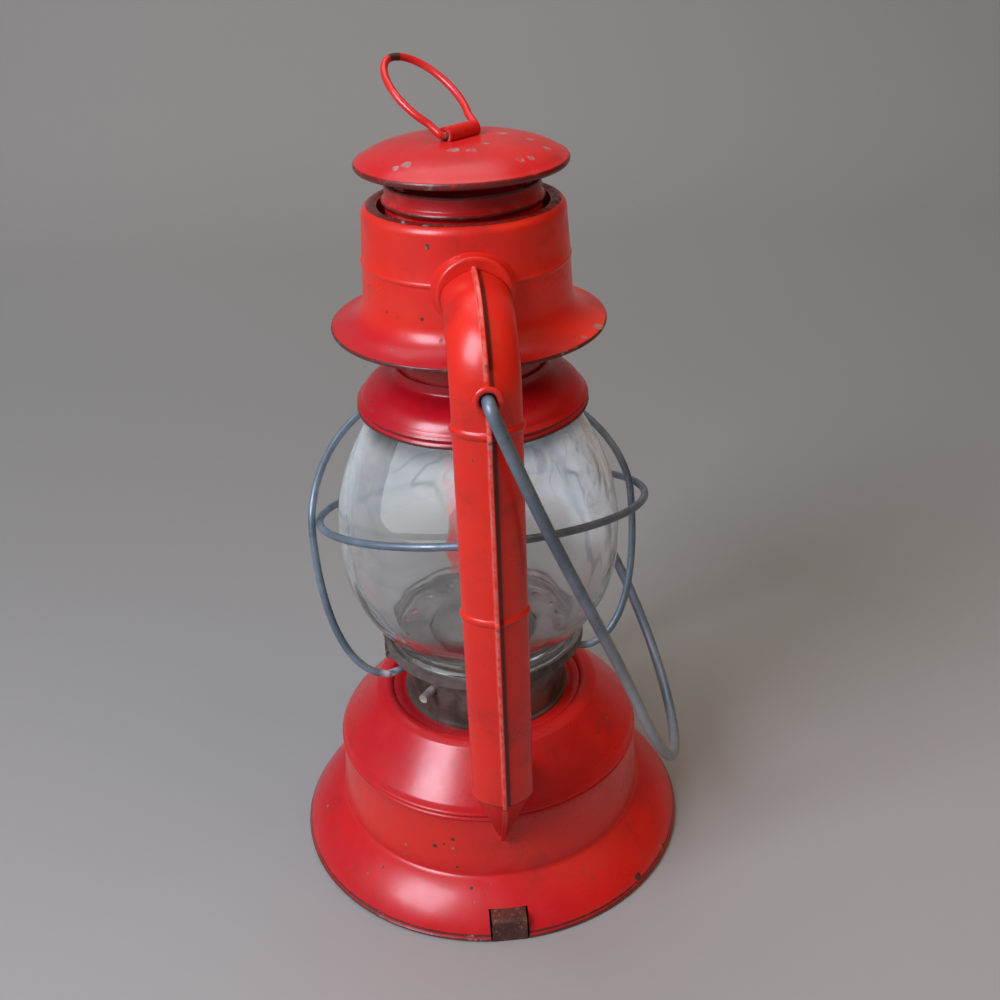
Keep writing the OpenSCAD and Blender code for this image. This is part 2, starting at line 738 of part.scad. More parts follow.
module hood_floor() {
    top = tube_z - tube_d / 2 - seat - 0.3;
    edge = hood_r - sheet - seat - hood_draw * (top - flare_z) / (hood_top - flare_z) * 0.6 - 0.1;
    hole = chimney_r + run;
    color(red) rotate_extrude()
        polygon([[hole, top - floor_lip], [hole + sheet, top - floor_lip], [hole + sheet, top - sheet],
                 [edge - sheet, top - sheet], [edge - sheet, top - floor_rim], [edge, top - floor_rim],
                 [edge, top], [hole, top]]);
}

// Round collars where the tubes enter the hood, flared where they meet it
collar_flare = 1.3;
flare_path = concat(
    [for (p = bow([tube_collar_r + collar_flare, 0.25], [tube_collar_r + 0.35, 0.5], [tube_collar_r, 0.6],
                  [tube_collar_r, 0.8], 4)) [p[0], p[1] * (collar_face - stub_end)]],
    arc([tube_collar_r - 0.9, collar_face - stub_end - 0.9], 0.9, 0, 90, 4));

module tube_collars() {
    color(red) for (turn = [0, 180]) rotate([0, 0, turn]) difference() {
        translate([stub_end, 0, tube_z]) rotate([0, 90, 0]) rotate_extrude()
            polygon(concat([[0, 0], [tube_collar_r + collar_flare, 0]], flare_path, [[0, collar_face - stub_end]]));
        filled(hood_path, seat);
        tube_form(seat);
    }
}

// Raised eyes on the tubes, which the ends of the bail turn in
module bail_eyelets() {
    low = -2 * sheet - seat;
    top = eyelet_h - seat;
    color(rust) for (turn = [0, 180]) rotate([0, 0, turn])
        translate([eyelet_x, 0, pivot_z]) rotate([0, 90, 0]) rotate_extrude()
            polygon([[bail_bore_r, low], [barrel_r, low], [barrel_r, 0], [eyelet_r, 0],
                     [eyelet_r, top / 2], [eyelet_r - 0.4, top], [bail_bore_r, top]]);
}

// Chimney, bell and cap

module chimney() {
    mid = hood_top + 0.5;
    top = hood_top + chimney_over;
    color(red) spun([[chimney_r, bell_top - 2], [chimney_r, mid - 1.2], [chimney_r + chimney_bead, mid - 0.5],
                     [chimney_r + chimney_bead, mid + 0.5], [chimney_r, mid + 1.2], [chimney_r, top]]);
}

module bell() {
    neck = chimney_r + seat + sheet;
    path = concat(
        [[bell_r - 0.6, bell_z + 0.5], [bell_r - 0.6, bell_z + 1.8], [bell_r - 0.1, bell_z + 2.4],
         [bell_r - 0.7, bell_z + 3]],
        bow([bell_r - 1.4, bell_z + 3.5], [bell_r - 2.6, bell_z + bell_h * 0.62], [neck + 5.5, bell_z + bell_h * 0.72],
            [neck + 2.4, bell_z + bell_h * 0.82], 8),
        [[neck + 0.6, bell_top - 1.2], [neck, bell_top - 0.6], [neck, bell_top + 1.5]]);
    color(red) {
        spun(path);
        roll(bell_r, bell_z + 0.7, 0.7);
    }
}

cap_path = concat(
    [[cap_r - 0.5, cap_z + 0.5]],
    bow([cap_r - 1.2, cap_z + 1.1], [cap_r * 0.8, cap_z + cap_rise * 0.8], [cap_r * 0.5, cap_top],
        [cap_r * 0.12, cap_top], 10),
    [[0, cap_top]]);

module cap() {
    color(red) {
        spun(cap_path);
        roll(cap_r, cap_z, roll_r);
    }
}

// Strips inside the chimney that carry the cap
module cap_legs() {
    low = hood_top + chimney_over - leg_l;
    out = chimney_r - sheet - seat;
    under = beside(cap_path, sheet + seat);
    color(red) difference() {
        for (turn = [60, 180, 300]) rotate([0, 0, turn]) intersection() {
            translate([0, -leg_w / 2, low]) cube([cap_r, leg_w, cap_top - low]);
            difference() {
                cylinder(r = out, h = cap_top);
                cylinder(r = out - sheet, h = cap_top * 2);
            }
        }
        rotate_extrude() polygon(concat(under, [[0, cap_top + 1], [cap_r, cap_top + 1]]));
    }
}

ring_z = cap_top + ring_d / 2 + run;

module ring_frame() {
    translate([0, 0, ring_z]) rotate([0, 0, ring_turn]) children();
}

module ring_saddle() {
    color(red) difference() {
        ring_frame() rotate([0, 90, 0]) translate([0, 0, -saddle_l / 2]) difference() {
            cylinder(r = ring_d / 2 + run + sheet, h = saddle_l);
            translate([0, 0, -1]) cylinder(r = ring_d / 2 + run, h = saddle_l + 2);
        }
        filled(concat(cap_path), seat);
    }
}

module lift_ring() {
    leg_x = saddle_l / 2 + run + ring_d / 2;
    corner = 1.2;
    b = ring_w / 2 - ring_d / 2;
    a = b * 1.55;
    mid = ring_l - ring_d / 2 - a;
    half = concat(
        [for (k = [0:3]) let (t = 90 - k * 30) [leg_x - corner + corner * cos(t), corner - corner * sin(t)]],
        [for (k = [0:12]) let (t = -40 + k * 130 / 12) [b * cos(t), mid + a * sin(t)]]);
    other = [for (p = flip(half)) [-p[0], p[1]]];
    flat = concat(half, [for (i = [1:len(other) - 1]) other[i]]);
    color(red) ring_frame() {
        rotate([-ring_lean, 0, 0]) wire([for (p = flat) [p[0], 0, p[1]]], ring_d, [0, 1, 0]);
        rotate([0, 90, 0]) translate([0, 0, corner - leg_x - 0.2]) cylinder(d = ring_d, h = (leg_x - corner) * 2 + 0.4);
    }
}

// Bail

bail_bend = 2.6;
bail_arm = bail_l - bail_half_w;
bail_x = tube_x + tube_d / 2 + eyelet_h + run + bail_bend;

module bail() {
    start = bail_x - bail_bend;
    arm = [for (k = [1:12]) let (v = bail_bend + (bail_arm - bail_bend) * k / 12)
        [bail_half_w + (bail_x - bail_half_w) * (0.5 + 0.5 * cos(180 * (v - bail_bend) / (bail_arm - bail_bend))), v]];
    half = concat(
        [for (k = [0:4]) let (t = 90 - k * 22.5) [start + bail_bend * cos(t), bail_bend - bail_bend * sin(t)]],
        arm,
        [for (k = [1:12]) [bail_half_w * cos(k * 7.5), bail_arm + bail_half_w * sin(k * 7.5)]]);
    other = [for (p = flip(half)) [-p[0], p[1]]];
    flat = concat(half, [for (i = [1:len(other) - 1]) other[i]]);
    path = [for (p = flat) [p[0], -bail_skew * p[0] / bail_half_w * p[1], -p[1]]];
    color(wire_grey) translate([0, 0, pivot_z]) {
        rotate([bail_lean, 0, 0]) wire(path, bail_d, [0, 1, 0], 10);
        for (turn = [0, 180]) rotate([0, 0, turn]) translate([start - 5.5, 0, 0]) rotate([0, 90, 0])
            cylinder(d = bail_d, h = 5.7);
    }
}

tank_side();
tank_top();
tank_bottom();
air_pan();
base_clip();
filler_neck();
filler_cap();
filler_gasket();
burner_collar();
burner_floor();
burner_cone();
wick_tube();
wick();
wick_shaft();
wick_wheels();
wick_knob();
hinge_ears();
hinge_pin();
globe_plate();
globe();
guard_ring();
guard_bow();
tube_foot_right();
tube_foot_left();
air_tube_right();
air_tube_left();
tube_collars();
bail_eyelets();
hood();
hood_floor();
chimney();
bell();
cap();
cap_legs();
ring_saddle();
lift_ring();
bail();
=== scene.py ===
"""A small red tubular kerosene lantern on a pale studio floor."""
import math
from itertools import product

import bmesh
import bpy
from mathutils import Matrix, Vector, noise


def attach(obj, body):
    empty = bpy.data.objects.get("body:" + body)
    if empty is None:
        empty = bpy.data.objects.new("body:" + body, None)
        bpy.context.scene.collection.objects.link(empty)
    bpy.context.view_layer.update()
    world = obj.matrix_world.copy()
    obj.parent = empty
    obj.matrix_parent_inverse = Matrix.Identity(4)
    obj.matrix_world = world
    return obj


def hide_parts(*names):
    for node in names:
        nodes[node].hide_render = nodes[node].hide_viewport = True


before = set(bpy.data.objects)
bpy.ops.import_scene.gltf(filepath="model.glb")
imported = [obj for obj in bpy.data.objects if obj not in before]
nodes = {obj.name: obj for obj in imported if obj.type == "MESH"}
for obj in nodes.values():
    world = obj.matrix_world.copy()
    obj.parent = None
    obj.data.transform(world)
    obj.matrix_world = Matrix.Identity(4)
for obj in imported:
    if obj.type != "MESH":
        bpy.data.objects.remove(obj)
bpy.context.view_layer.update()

MM = 0.001
# Thickness of the sheet metal in millimetres, and the turn in degrees from which an edge looks crisp
SHEET, SHARP = 0.8, 38


# Curves


def arc(cx, cy, r, a, b, n):
    """Points on a circle from one angle to another, in degrees."""
    return [(cx + r * math.cos(math.radians(a + (b - a) * i / n)),
             cy + r * math.sin(math.radians(a + (b - a) * i / n))) for i in range(n + 1)]


def bow(p, q, r, s, n):
    """Points on a curve that leaves p towards q and comes to s from r."""
    out = []
    for i in range(n + 1):
        t = i / n
        k = 1 - t
        out.append(tuple(k * k * k * a + 3 * k * k * t * b + 3 * k * t * t * c + t * t * t * d
                         for a, b, c, d in zip(p, q, r, s)))
    return out


def bead(r, z, height, width, n=8):
    """A half-round swelling in a profile."""
    return [(r + height * math.sin(math.pi * i / n) ** 1.5, z + width * (i / n - 0.5)) for i in range(n + 1)]


def beside(path, gap):
    """The profile moved to its left."""
    out = []
    last = len(path) - 1
    for i, p in enumerate(path):
        normals = []
        for a, b in ((max(i - 1, 0), max(i, 1)), (min(i, last - 1), min(i + 1, last))):
            d = Vector(path[b]) - Vector(path[a])
            normals.append(Vector((-d.y, d.x)).normalized())
        m = (normals[0] + normals[1]).normalized()
        q = Vector(p) + m * gap / max(m.dot(normals[0]), 0.5)
        out.append((max(q.x, 0.0), q.y))
    return out


# Mesh makers


def make(name, verts, faces, body, material, replaces=(), sharp=SHARP):
    """A piece from points in millimetres, on a body and in a slot, in place of some solids."""
    mesh = bpy.data.meshes.new(name)
    mesh.from_pydata([Vector(v) * MM for v in verts], [], faces)
    bm = bmesh.new()
    bm.from_mesh(mesh)
    bmesh.ops.remove_doubles(bm, verts=bm.verts, dist=1e-6)
    bmesh.ops.recalc_face_normals(bm, faces=bm.faces)
    bm.to_mesh(mesh)
    bm.free()
    mesh.shade_smooth()
    mesh.set_sharp_from_angle(angle=math.radians(sharp))
    piece = bpy.data.objects.new(name, mesh)
    bpy.context.scene.collection.objects.link(piece)
    mesh.materials.append(material)
    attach(piece, body)
    if replaces:
        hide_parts(*replaces)
    return piece


def wobbled(p, amount, size, seed):
    """A point moved a little outwards or inwards, as hand-worked sheet is."""
    if not amount:
        return p
    v = Vector(p)
    k = noise.noise(v / size + Vector((seed, seed * 2, 0)))
    out = Vector((v.x, v.y, 0))
    if out.length < 1e-6:
        return p
    return v + out.normalized() * amount * k


def lathe(name, profile, body, material, replaces, steps, wobble=0.0, size=30, seed=1, sharp=SHARP,
          frames=(Matrix.Identity(4),)):
    """A closed profile turned about the middle of each frame."""
    n = len(profile)
    verts, faces = [], []
    for frame_matrix in frames:
        base = len(verts)
        for k in range(steps):
            a = 2 * math.pi * k / steps
            for r, z in profile:
                point = (r * math.cos(a), r * math.sin(a), z)
                verts.append(frame_matrix @ Vector(wobbled(point, wobble, size, seed)))
        for k in range(steps):
            here, there = base + k * n, base + (k + 1) % steps * n
            for i in range(n):
                j = (i + 1) % n
                flat = (profile[i][0] < 1e-6) + 2 * (profile[j][0] < 1e-6)
                if flat < 3:
                    faces.append(((here + i, there + i, there + j, here + j), (here + i, there + j, here + j),
                                  (here + i, there + i, here + j))[flat])
    return make(name, verts, faces, body, material, replaces, sharp)


def shell(path):
    """The closed profile of a sheet that lies along a path."""
    return list(path) + beside(path, SHEET)[::-1]


def carried(path, side, closed=False):
    """For each point of a path: its place, two directions across the path and one along it."""
    pts = [Vector(p) for p in path]
    last = len(pts) - 1
    s = Vector(side)
    rings = []
    for i, p in enumerate(pts):
        d = pts[(i + 1) % (last + 1)] - pts[i - 1] if closed else pts[min(i + 1, last)] - pts[max(i - 1, 0)]
        d.normalize()
        s = (s - s.dot(d) * d).normalized()
        rings.append((p, s.copy(), d.cross(s), d))
    return rings


def sweep(name, path, section, body, material, replaces, side=(0, 0, 1), closed=False, round_end=0.0,
          hollow=None, sharp=SHARP):
    """A section carried along a path: section(i) gives its points, hollow(i) those of a bore in it."""
    rings = carried(path, side, closed)
    places = [(ring, 1.0, i) for i, ring in enumerate(rings)]
    if round_end:
        for end, i in ((-1, 0), (1, len(rings) - 1)):
            p, a, b, d = rings[i]
            caps = [((p + d * (math.sin(t) * round_end * end), a, b, d), max(math.cos(t), 0.02), i)
                    for t in (math.pi / 6, math.pi / 3, math.pi / 2)]
            places = places + caps if end > 0 else caps[::-1] + places
    verts, faces = [], []
    rows = len(places)
    walls = [section] + ([hollow] if hollow else [])
    m = len(section(0))
    for wall_section in walls:
        base = len(verts)
        for (p, a, b, _), scale, i in places:
            verts += [p + (a * u + b * v) * scale for u, v in wall_section(i)]
        for i in range(rows if closed else rows - 1):
            for k in range(m):
                q, nxt = (k + 1) % m, (i + 1) % rows
                faces.append([base + i * m + k, base + i * m + q, base + nxt * m + q, base + nxt * m + k])
    if not closed:
        for row in (0, (rows - 1) * m):
            if hollow:
                faces += [[row + k, row + (k + 1) % m, rows * m + row + (k + 1) % m, rows * m + row + k]
                          for k in range(m)]
            else:
                faces.append([row + k for k in range(m)])
    return make(name, verts, faces, body, material, replaces, sharp)


def disc(d, n):
    """A round section for sweep."""
    ring = arc(0, 0, d / 2, 0, 360, n)[:-1]
    return lambda i: ring


def cut(piece, cutter):
    """Takes one piece's shape out of another."""
    tool = piece.modifiers.new("cut", "BOOLEAN")
    tool.operation = "DIFFERENCE"
    tool.solver = "EXACT"
    tool.object = cutter
    bpy.context.view_layer.update()
    done = bpy.data.meshes.new_from_object(piece.evaluated_get(bpy.context.evaluated_depsgraph_get()))
    piece.modifiers.clear()
    piece.data = done
    bpy.data.objects.remove(cutter)
    done.shade_smooth()
    done.set_sharp_from_angle(angle=math.radians(SHARP))


def cutter_box(low, high):
    bm = bmesh.new()
    bmesh.ops.create_cube(bm, size=1)
    size = [(b - a) * MM for a, b in zip(low, high)]
    mid = [(a + b) / 2 * MM for a, b in zip(low, high)]
    bmesh.ops.transform(bm, verts=bm.verts, matrix=Matrix.Translation(mid) @ Matrix.Diagonal(size + [1]))
    return cutter_from(bm)


def cutter_rod(start, direction, r, length):
    bm = bmesh.new()
    turn = Vector(direction).to_track_quat("Z", "Y").to_matrix().to_4x4()
    move = Matrix.Translation((Vector(start) + Vector(direction) * length / 2) * MM)
    bmesh.ops.create_cone(bm, cap_ends=True, segments=40, radius1=r * MM, radius2=r * MM, depth=length * MM,
                          matrix=move @ turn)
    return cutter_from(bm)


def cutter_from(bm):
    mesh = bpy.data.meshes.new("cutter")
    bm.to_mesh(mesh)
    bm.free()
    tool = bpy.data.objects.new("cutter", mesh)
    bpy.context.scene.collection.objects.link(tool)
    return tool


# Materials


class Shader:
    """Short names for the nodes of one material."""

    def __init__(self, name):
        self.material = bpy.data.materials.new(name)
        self.material.use_nodes = True
        self.tree = self.material.node_tree
        self.tree.nodes.clear()
        out = self.tree.nodes.new("ShaderNodeOutputMaterial")
        self.bsdf = self.tree.nodes.new("ShaderNodeBsdfPrincipled")
        self.tree.links.new(self.bsdf.outputs[0], out.inputs["Surface"])
        self.place = self.tree.nodes.new("ShaderNodeTexCoord").outputs["Object"]

    def put(self, socket, value):
        if isinstance(value, bpy.types.NodeSocket):
            self.tree.links.new(value, socket)
        elif socket.type == "RGBA" and len(value) == 3:
            socket.default_value = (*value, 1)
        else:
            socket.default_value = value

    def set(self, **values):
        for name, value in values.items():
            self.put(self.bsdf.inputs[name.replace("_", " ")], value)

    def math(self, op, *values, clamp=False):
        n = self.tree.nodes.new("ShaderNodeMath")
        n.operation = op
        n.use_clamp = clamp
        for socket, value in zip(n.inputs, values):
            self.put(socket, value)
        return n.outputs[0]

    def vector(self, op, *values):
        n = self.tree.nodes.new("ShaderNodeVectorMath")
        n.operation = op
        for socket, value in zip(n.inputs, values):
            self.put(socket, value)
        return n.outputs["Value" if op in ("LENGTH", "DISTANCE", "DOT_PRODUCT") else "Vector"]

    def noise(self, scale, detail, rough=0.55, warp=0.0):
        n = self.tree.nodes.new("ShaderNodeTexNoise")
        self.put(n.inputs["Vector"], self.place)
        n.inputs["Scale"].default_value = scale
        n.inputs["Detail"].default_value = detail
        n.inputs["Roughness"].default_value = rough
        n.inputs["Distortion"].default_value = warp
        return n.outputs["Fac"]

    def cells(self, scale):
        n = self.tree.nodes.new("ShaderNodeTexVoronoi")
        self.put(n.inputs["Vector"], self.place)
        n.inputs["Scale"].default_value = scale
        return n.outputs["Distance"]

    def step(self, value, low, high, to_low=0.0, to_high=1.0):
        n = self.tree.nodes.new("ShaderNodeMapRange")
        n.interpolation_type = "SMOOTHSTEP"
        for socket, v in zip(n.inputs[:5], (value, low, high, to_low, to_high)):
            self.put(socket, v)
        return n.outputs[0]

    def mix(self, share, a, b):
        n = self.tree.nodes.new("ShaderNodeMix")
        n.data_type = "RGBA"
        self.put(n.inputs["Factor"], share)
        self.put(n.inputs[6], a)
        self.put(n.inputs[7], b)
        return n.outputs[2]

    def blend(self, share, a, b):
        n = self.tree.nodes.new("ShaderNodeMix")
        n.data_type = "FLOAT"
        self.put(n.inputs["Factor"], share)
        self.put(n.inputs[2], a)
        self.put(n.inputs[3], b)
        return n.outputs[0]

    def split(self):
        n = self.tree.nodes.new("ShaderNodeSeparateXYZ")
        self.put(n.inputs[0], self.place)
        return n.outputs

    def radius(self):
        x, y, _ = self.split()
        return self.math("SQRT", self.math("ADD", self.math("MULTIPLY", x, x), self.math("MULTIPLY", y, y)))

    def near(self, value, centre, width):
        """1 at a value in millimetres, falling to 0 at a distance from it."""
        off = self.math("ABSOLUTE", self.math("SUBTRACT", value, centre * MM))
        return self.step(off, width * 0.3 * MM, width * MM, 1.0, 0.0)

    def spot(self, centre, width):
        off = self.vector("DISTANCE", self.place, tuple(c * MM for c in centre))
        return self.step(off, width * 0.3 * MM, width * MM, 1.0, 0.0)

    def most(self, values):
        out = values[0]
        for v in values[1:]:
            out = self.math("MAXIMUM", out, v)
        return out

    def weigh(self, a, a_share, b, b_share):
        """Two values added, each by its own share."""
        return self.math("ADD", self.math("MULTIPLY", a, a_share), self.math("MULTIPLY", b, b_share))

    def bump(self, height, strength, distance, after=None):
        n = self.tree.nodes.new("ShaderNodeBump")
        n.inputs["Strength"].default_value = strength
        n.inputs["Distance"].default_value = distance
        self.put(n.inputs["Height"], height)
        if after:
            self.put(n.inputs["Normal"], after)
        return n.outputs[0]


# Colours

CRIMSON = (0.41, 0.003, 0.013)
SCARLET = (0.72, 0.026, 0.009)
DEEP = (0.20, 0.006, 0.007)
FADED = (0.64, 0.15, 0.12)
# Dark colour for worn edges, also used as painted shadow beside the tube's fin
DARK_EDGE_AND_SHADE = (0.060, 0.014, 0.011)
RUST = (0.070, 0.028, 0.016)
BARE = (0.30, 0.25, 0.22)
PRIMER_PALE, PRIMER_DARK = (0.46, 0.30, 0.26), (0.14, 0.055, 0.045)
ZINC_DARK, ZINC_PALE = (0.115, 0.165, 0.205), (0.215, 0.280, 0.335)
ZINC_FLECK, ZINC_PALE_LOW, ZINC_BRIGHT = (0.085, 0.085, 0.080), (0.34, 0.37, 0.37), (0.60, 0.62, 0.64)
TARNISH, SOOT, TARNISH_FLECK = (0.255, 0.220, 0.188), (0.075, 0.062, 0.053), (0.12, 0.070, 0.040)
OLD_RUST, RED_RUST, RUST_CREST = (0.055, 0.018, 0.014), (0.17, 0.055, 0.030), (0.28, 0.16, 0.12)
STEEL_PALE, STEEL_DARK = (0.36, 0.35, 0.33), (0.17, 0.15, 0.13)
# Glass colours: the low and neck shades are painted shade, the milk is painted light and reflection
CLEAR, LOW_GLASS_SHADE, NECK_SHADE = (0.97, 0.98, 0.985), (0.46, 0.43, 0.41), (0.16, 0.17, 0.19)
MILK_BLUE, MILK_WHITE, STREAK = (0.80, 0.85, 0.92), (0.97, 0.99, 1.0), (0.20, 0.22, 0.25)
COTTON_DARK, COTTON_PALE, CHAR = (0.50, 0.43, 0.31), (0.66, 0.60, 0.48), (0.02, 0.015, 0.012)
RUBBER_DARK, RUBBER_PALE = (0.012, 0.012, 0.012), (0.035, 0.033, 0.03)
# Floor tones, darker in the middle band: painted shade and light
FLOOR_FRONT, FLOOR_MIDDLE, FLOOR_BACK = (0.281, 0.296, 0.290), (0.214, 0.230, 0.221), (0.298, 0.314, 0.298)
SKY_COOL, SKY_WARM = (0.86, 0.88, 0.92, 1), (0.19, 0.14, 0.11, 1)


def lit(colour, light):
    return tuple(c * light for c in colour)


def red_tone(s, warm, dust, cool, painted_warm_band):
    """Red with deep and dusty patches, and painted warm light on one side."""
    _, y, z = s.split()
    # The +y side is painted warmer: painted warm light from the fill's side
    painted_warm_side = s.step(y, -0.008, 0.034)
    heat = s.math("ADD", s.noise(20, 3), s.math("MULTIPLY_ADD", painted_warm_side, 0.35, warm - 0.5), clamp=True)
    # A warmer band at a height: painted bounce light from the floor
    if painted_warm_band:
        heat = s.math("ADD", heat, s.math("MULTIPLY", s.near(z, *painted_warm_band), 0.4), clamp=True)
    # Below the cool level the red turns crimson, but not on the painted warm side
    if cool:
        rise = s.step(z, cool[0] * MM, cool[1] * MM, 0.15, 1.0)
        heat = s.math("MULTIPLY", heat, s.math("MAXIMUM", rise, painted_warm_side))
    tone = s.mix(heat, CRIMSON, SCARLET)
    tone = s.mix(s.step(s.noise(75, 6, 0.68), 0.49, 0.78, 0.0, 0.60), tone, DEEP)
    return s.mix(s.step(s.noise(150, 5, 0.6), 0.48, 0.75, 0.0, dust), tone, FADED)


def enamel(name, warm=0.5, rims=(), levels=(), fin=False, spots=(), bare_spots=(), dust=0.06, cool=None,
           painted_warm_band=None, gloss=0.38):
    """Glossy red paint, worn at edges and at chipped and scraped spots, with painted shadow in the groove
    beside a fin and a pale worn crest that is partly painted highlight.
    """
    s = Shader(name)
    _, y, z = s.split()
    tone = red_tone(s, warm, dust, cool, painted_warm_band)
    ragged = s.noise(420, 5, 0.65, warp=0.5)
    patches = s.noise(30, 3, 0.6)
    if fin:
        # The fin's crest is pale worn paint, partly painted highlight; the groove on its +y side is painted
        # shadow
        crest_wear_and_highlight = s.math("MULTIPLY", s.near(y, -0.25, 0.65), s.step(ragged, 0.36, 0.60, 0.10, 0.95))
        tone = s.mix(s.math("MULTIPLY", s.near(y, 1.05, 0.8), 0.85), s.mix(crest_wear_and_highlight, tone, FADED), DARK_EDGE_AND_SHADE)
    edges = [s.near(s.radius(), centre, width) for centre, width in rims]
    edges += [s.near(z, centre, width) for centre, width in levels]
    worn = s.math("MULTIPLY", s.step(s.cells(260), 0.17, 0.10), s.step(s.noise(33, 2), 0.60, 0.70))
    if edges:
        edge = s.most(edges)
        line = s.weigh(edge, 0.60, ragged, 0.55)
        tone = s.mix(s.step(line, 0.70, 0.86, 0.0, 0.85), tone, DARK_EDGE_AND_SHADE)
        chips = s.step(s.weigh(edge, 0.45, ragged, 0.45), 0.66, 0.72)
        worn = s.math("MAXIMUM", worn, s.math("MULTIPLY", chips, s.step(patches, 0.48, 0.60)))
    for centre, width in spots:
        near = s.weigh(s.spot(centre, width), 0.55, ragged, 0.6)
        worn = s.math("MAXIMUM", worn, s.step(near, 0.78, 0.84))
    metal = s.mix(s.step(s.noise(300, 3), 0.50, 0.66), RUST, BARE)
    colour = s.mix(worn, tone, metal)
    scrapes = s.noise(230, 5, 0.7, warp=2.2)
    for centre, width in bare_spots:
        rubbed = s.step(s.weigh(s.spot(centre, width), 0.5, scrapes, 0.65), 0.76, 0.86)
        colour = s.mix(rubbed, colour, s.mix(s.noise(260, 3), PRIMER_PALE, PRIMER_DARK))
        worn = s.math("MAXIMUM", worn, rubbed)
    sheen = s.step(s.noise(60, 5, 0.65), 0.30, 0.75, 0.26, 0.42)
    s.set(Base_Color=colour, Roughness=s.blend(worn, sheen, 0.70))
    s.bsdf.inputs["Specular IOR Level"].default_value = gloss
    s.bsdf.inputs["Coat Weight"].default_value = 0.22
    s.bsdf.inputs["Coat Roughness"].default_value = 0.19
    dents = s.bump(s.noise(48, 2, 0.45), 0.22, 0.0012)
    skin = s.weigh(s.noise(520, 2), 0.16, worn, -0.5)
    s.set(Normal=s.bump(skin, 0.20, 0.0005, dents))
    return s.material


def galvanised(name, bare=(), pale_below=None):
    """Grey zinc on wire, bright where it is bare and paler on the near side below a level."""
    s = Shader(name)
    spangle = s.noise(420, 3, 0.6)
    tone = s.mix(s.step(s.noise(60, 4, 0.6), 0.35, 0.7), ZINC_DARK, ZINC_PALE)
    tone = s.mix(s.step(spangle, 0.55, 0.75, 0.0, 0.40), tone, ZINC_FLECK)
    if pale_below:
        x, _, z = s.split()
        low = s.step(z, pale_below * MM, (pale_below - 50) * MM, 0.0, 0.7)
        tone = s.mix(s.math("MULTIPLY", low, s.step(x, -0.01, 0.03)), tone, ZINC_PALE_LOW)
    for centre, width in bare:
        bright_spot = s.math("MULTIPLY", s.spot(centre, width), s.step(spangle, 0.35, 0.55))
        tone = s.mix(bright_spot, tone, ZINC_BRIGHT)
    s.set(Base_Color=tone, Roughness=s.step(spangle, 0.3, 0.7, 0.32, 0.55))
    s.bsdf.inputs["Metallic"].default_value = 0.40
    s.set(Normal=s.bump(s.noise(700, 4), 0.25, 0.0002))
    return s.material


def tarnished(name, light, shine=0.6, dull=0.0):
    """Brown burner metal with soot in patches."""
    s = Shader(name)
    soot = s.noise(85, 5, 0.62)
    fleck = s.noise(600, 4, 0.6)
    tone = s.mix(s.step(soot, 0.34, 0.7), lit(TARNISH, light), lit(SOOT, light))
    tone = s.mix(s.step(fleck, 0.58, 0.72, 0.0, 0.45), tone, TARNISH_FLECK)
    s.set(Base_Color=tone, Roughness=s.step(soot, 0.3, 0.7, 0.32 + dull, 0.60 + dull))
    s.bsdf.inputs["Metallic"].default_value = shine
    s.set(Normal=s.bump(fleck, 0.2, 0.0003))
    return s.material


def rusty(name):
    s = Shader(name)
    patch = s.noise(130, 5, 0.65)
    pit = s.noise(850, 4, 0.6)
    tone = s.mix(s.step(patch, 0.35, 0.68), OLD_RUST, RED_RUST)
    tone = s.mix(s.math("MULTIPLY", s.step(pit, 0.55, 0.72), 0.6), tone, RUST_CREST)
    s.set(Base_Color=tone, Roughness=s.step(pit, 0.3, 0.7, 0.5, 0.8))
    s.bsdf.inputs["Metallic"].default_value = 0.2
    s.set(Normal=s.bump(pit, 0.5, 0.0004))
    return s.material


def steel(name, light=1.0, shine=0.9):
    s = Shader(name)
    patch = s.noise(110, 5, 0.6)
    brush = s.noise(900, 3, 0.6)
    tone = s.mix(s.step(patch, 0.4, 0.7), lit(STEEL_PALE, light), lit(STEEL_DARK, light))
    s.set(Base_Color=tone, Roughness=s.step(brush, 0.3, 0.7, 0.3, 0.5))
    s.bsdf.inputs["Metallic"].default_value = shine
    s.set(Normal=s.bump(brush, 0.15, 0.0002))
    return s.material


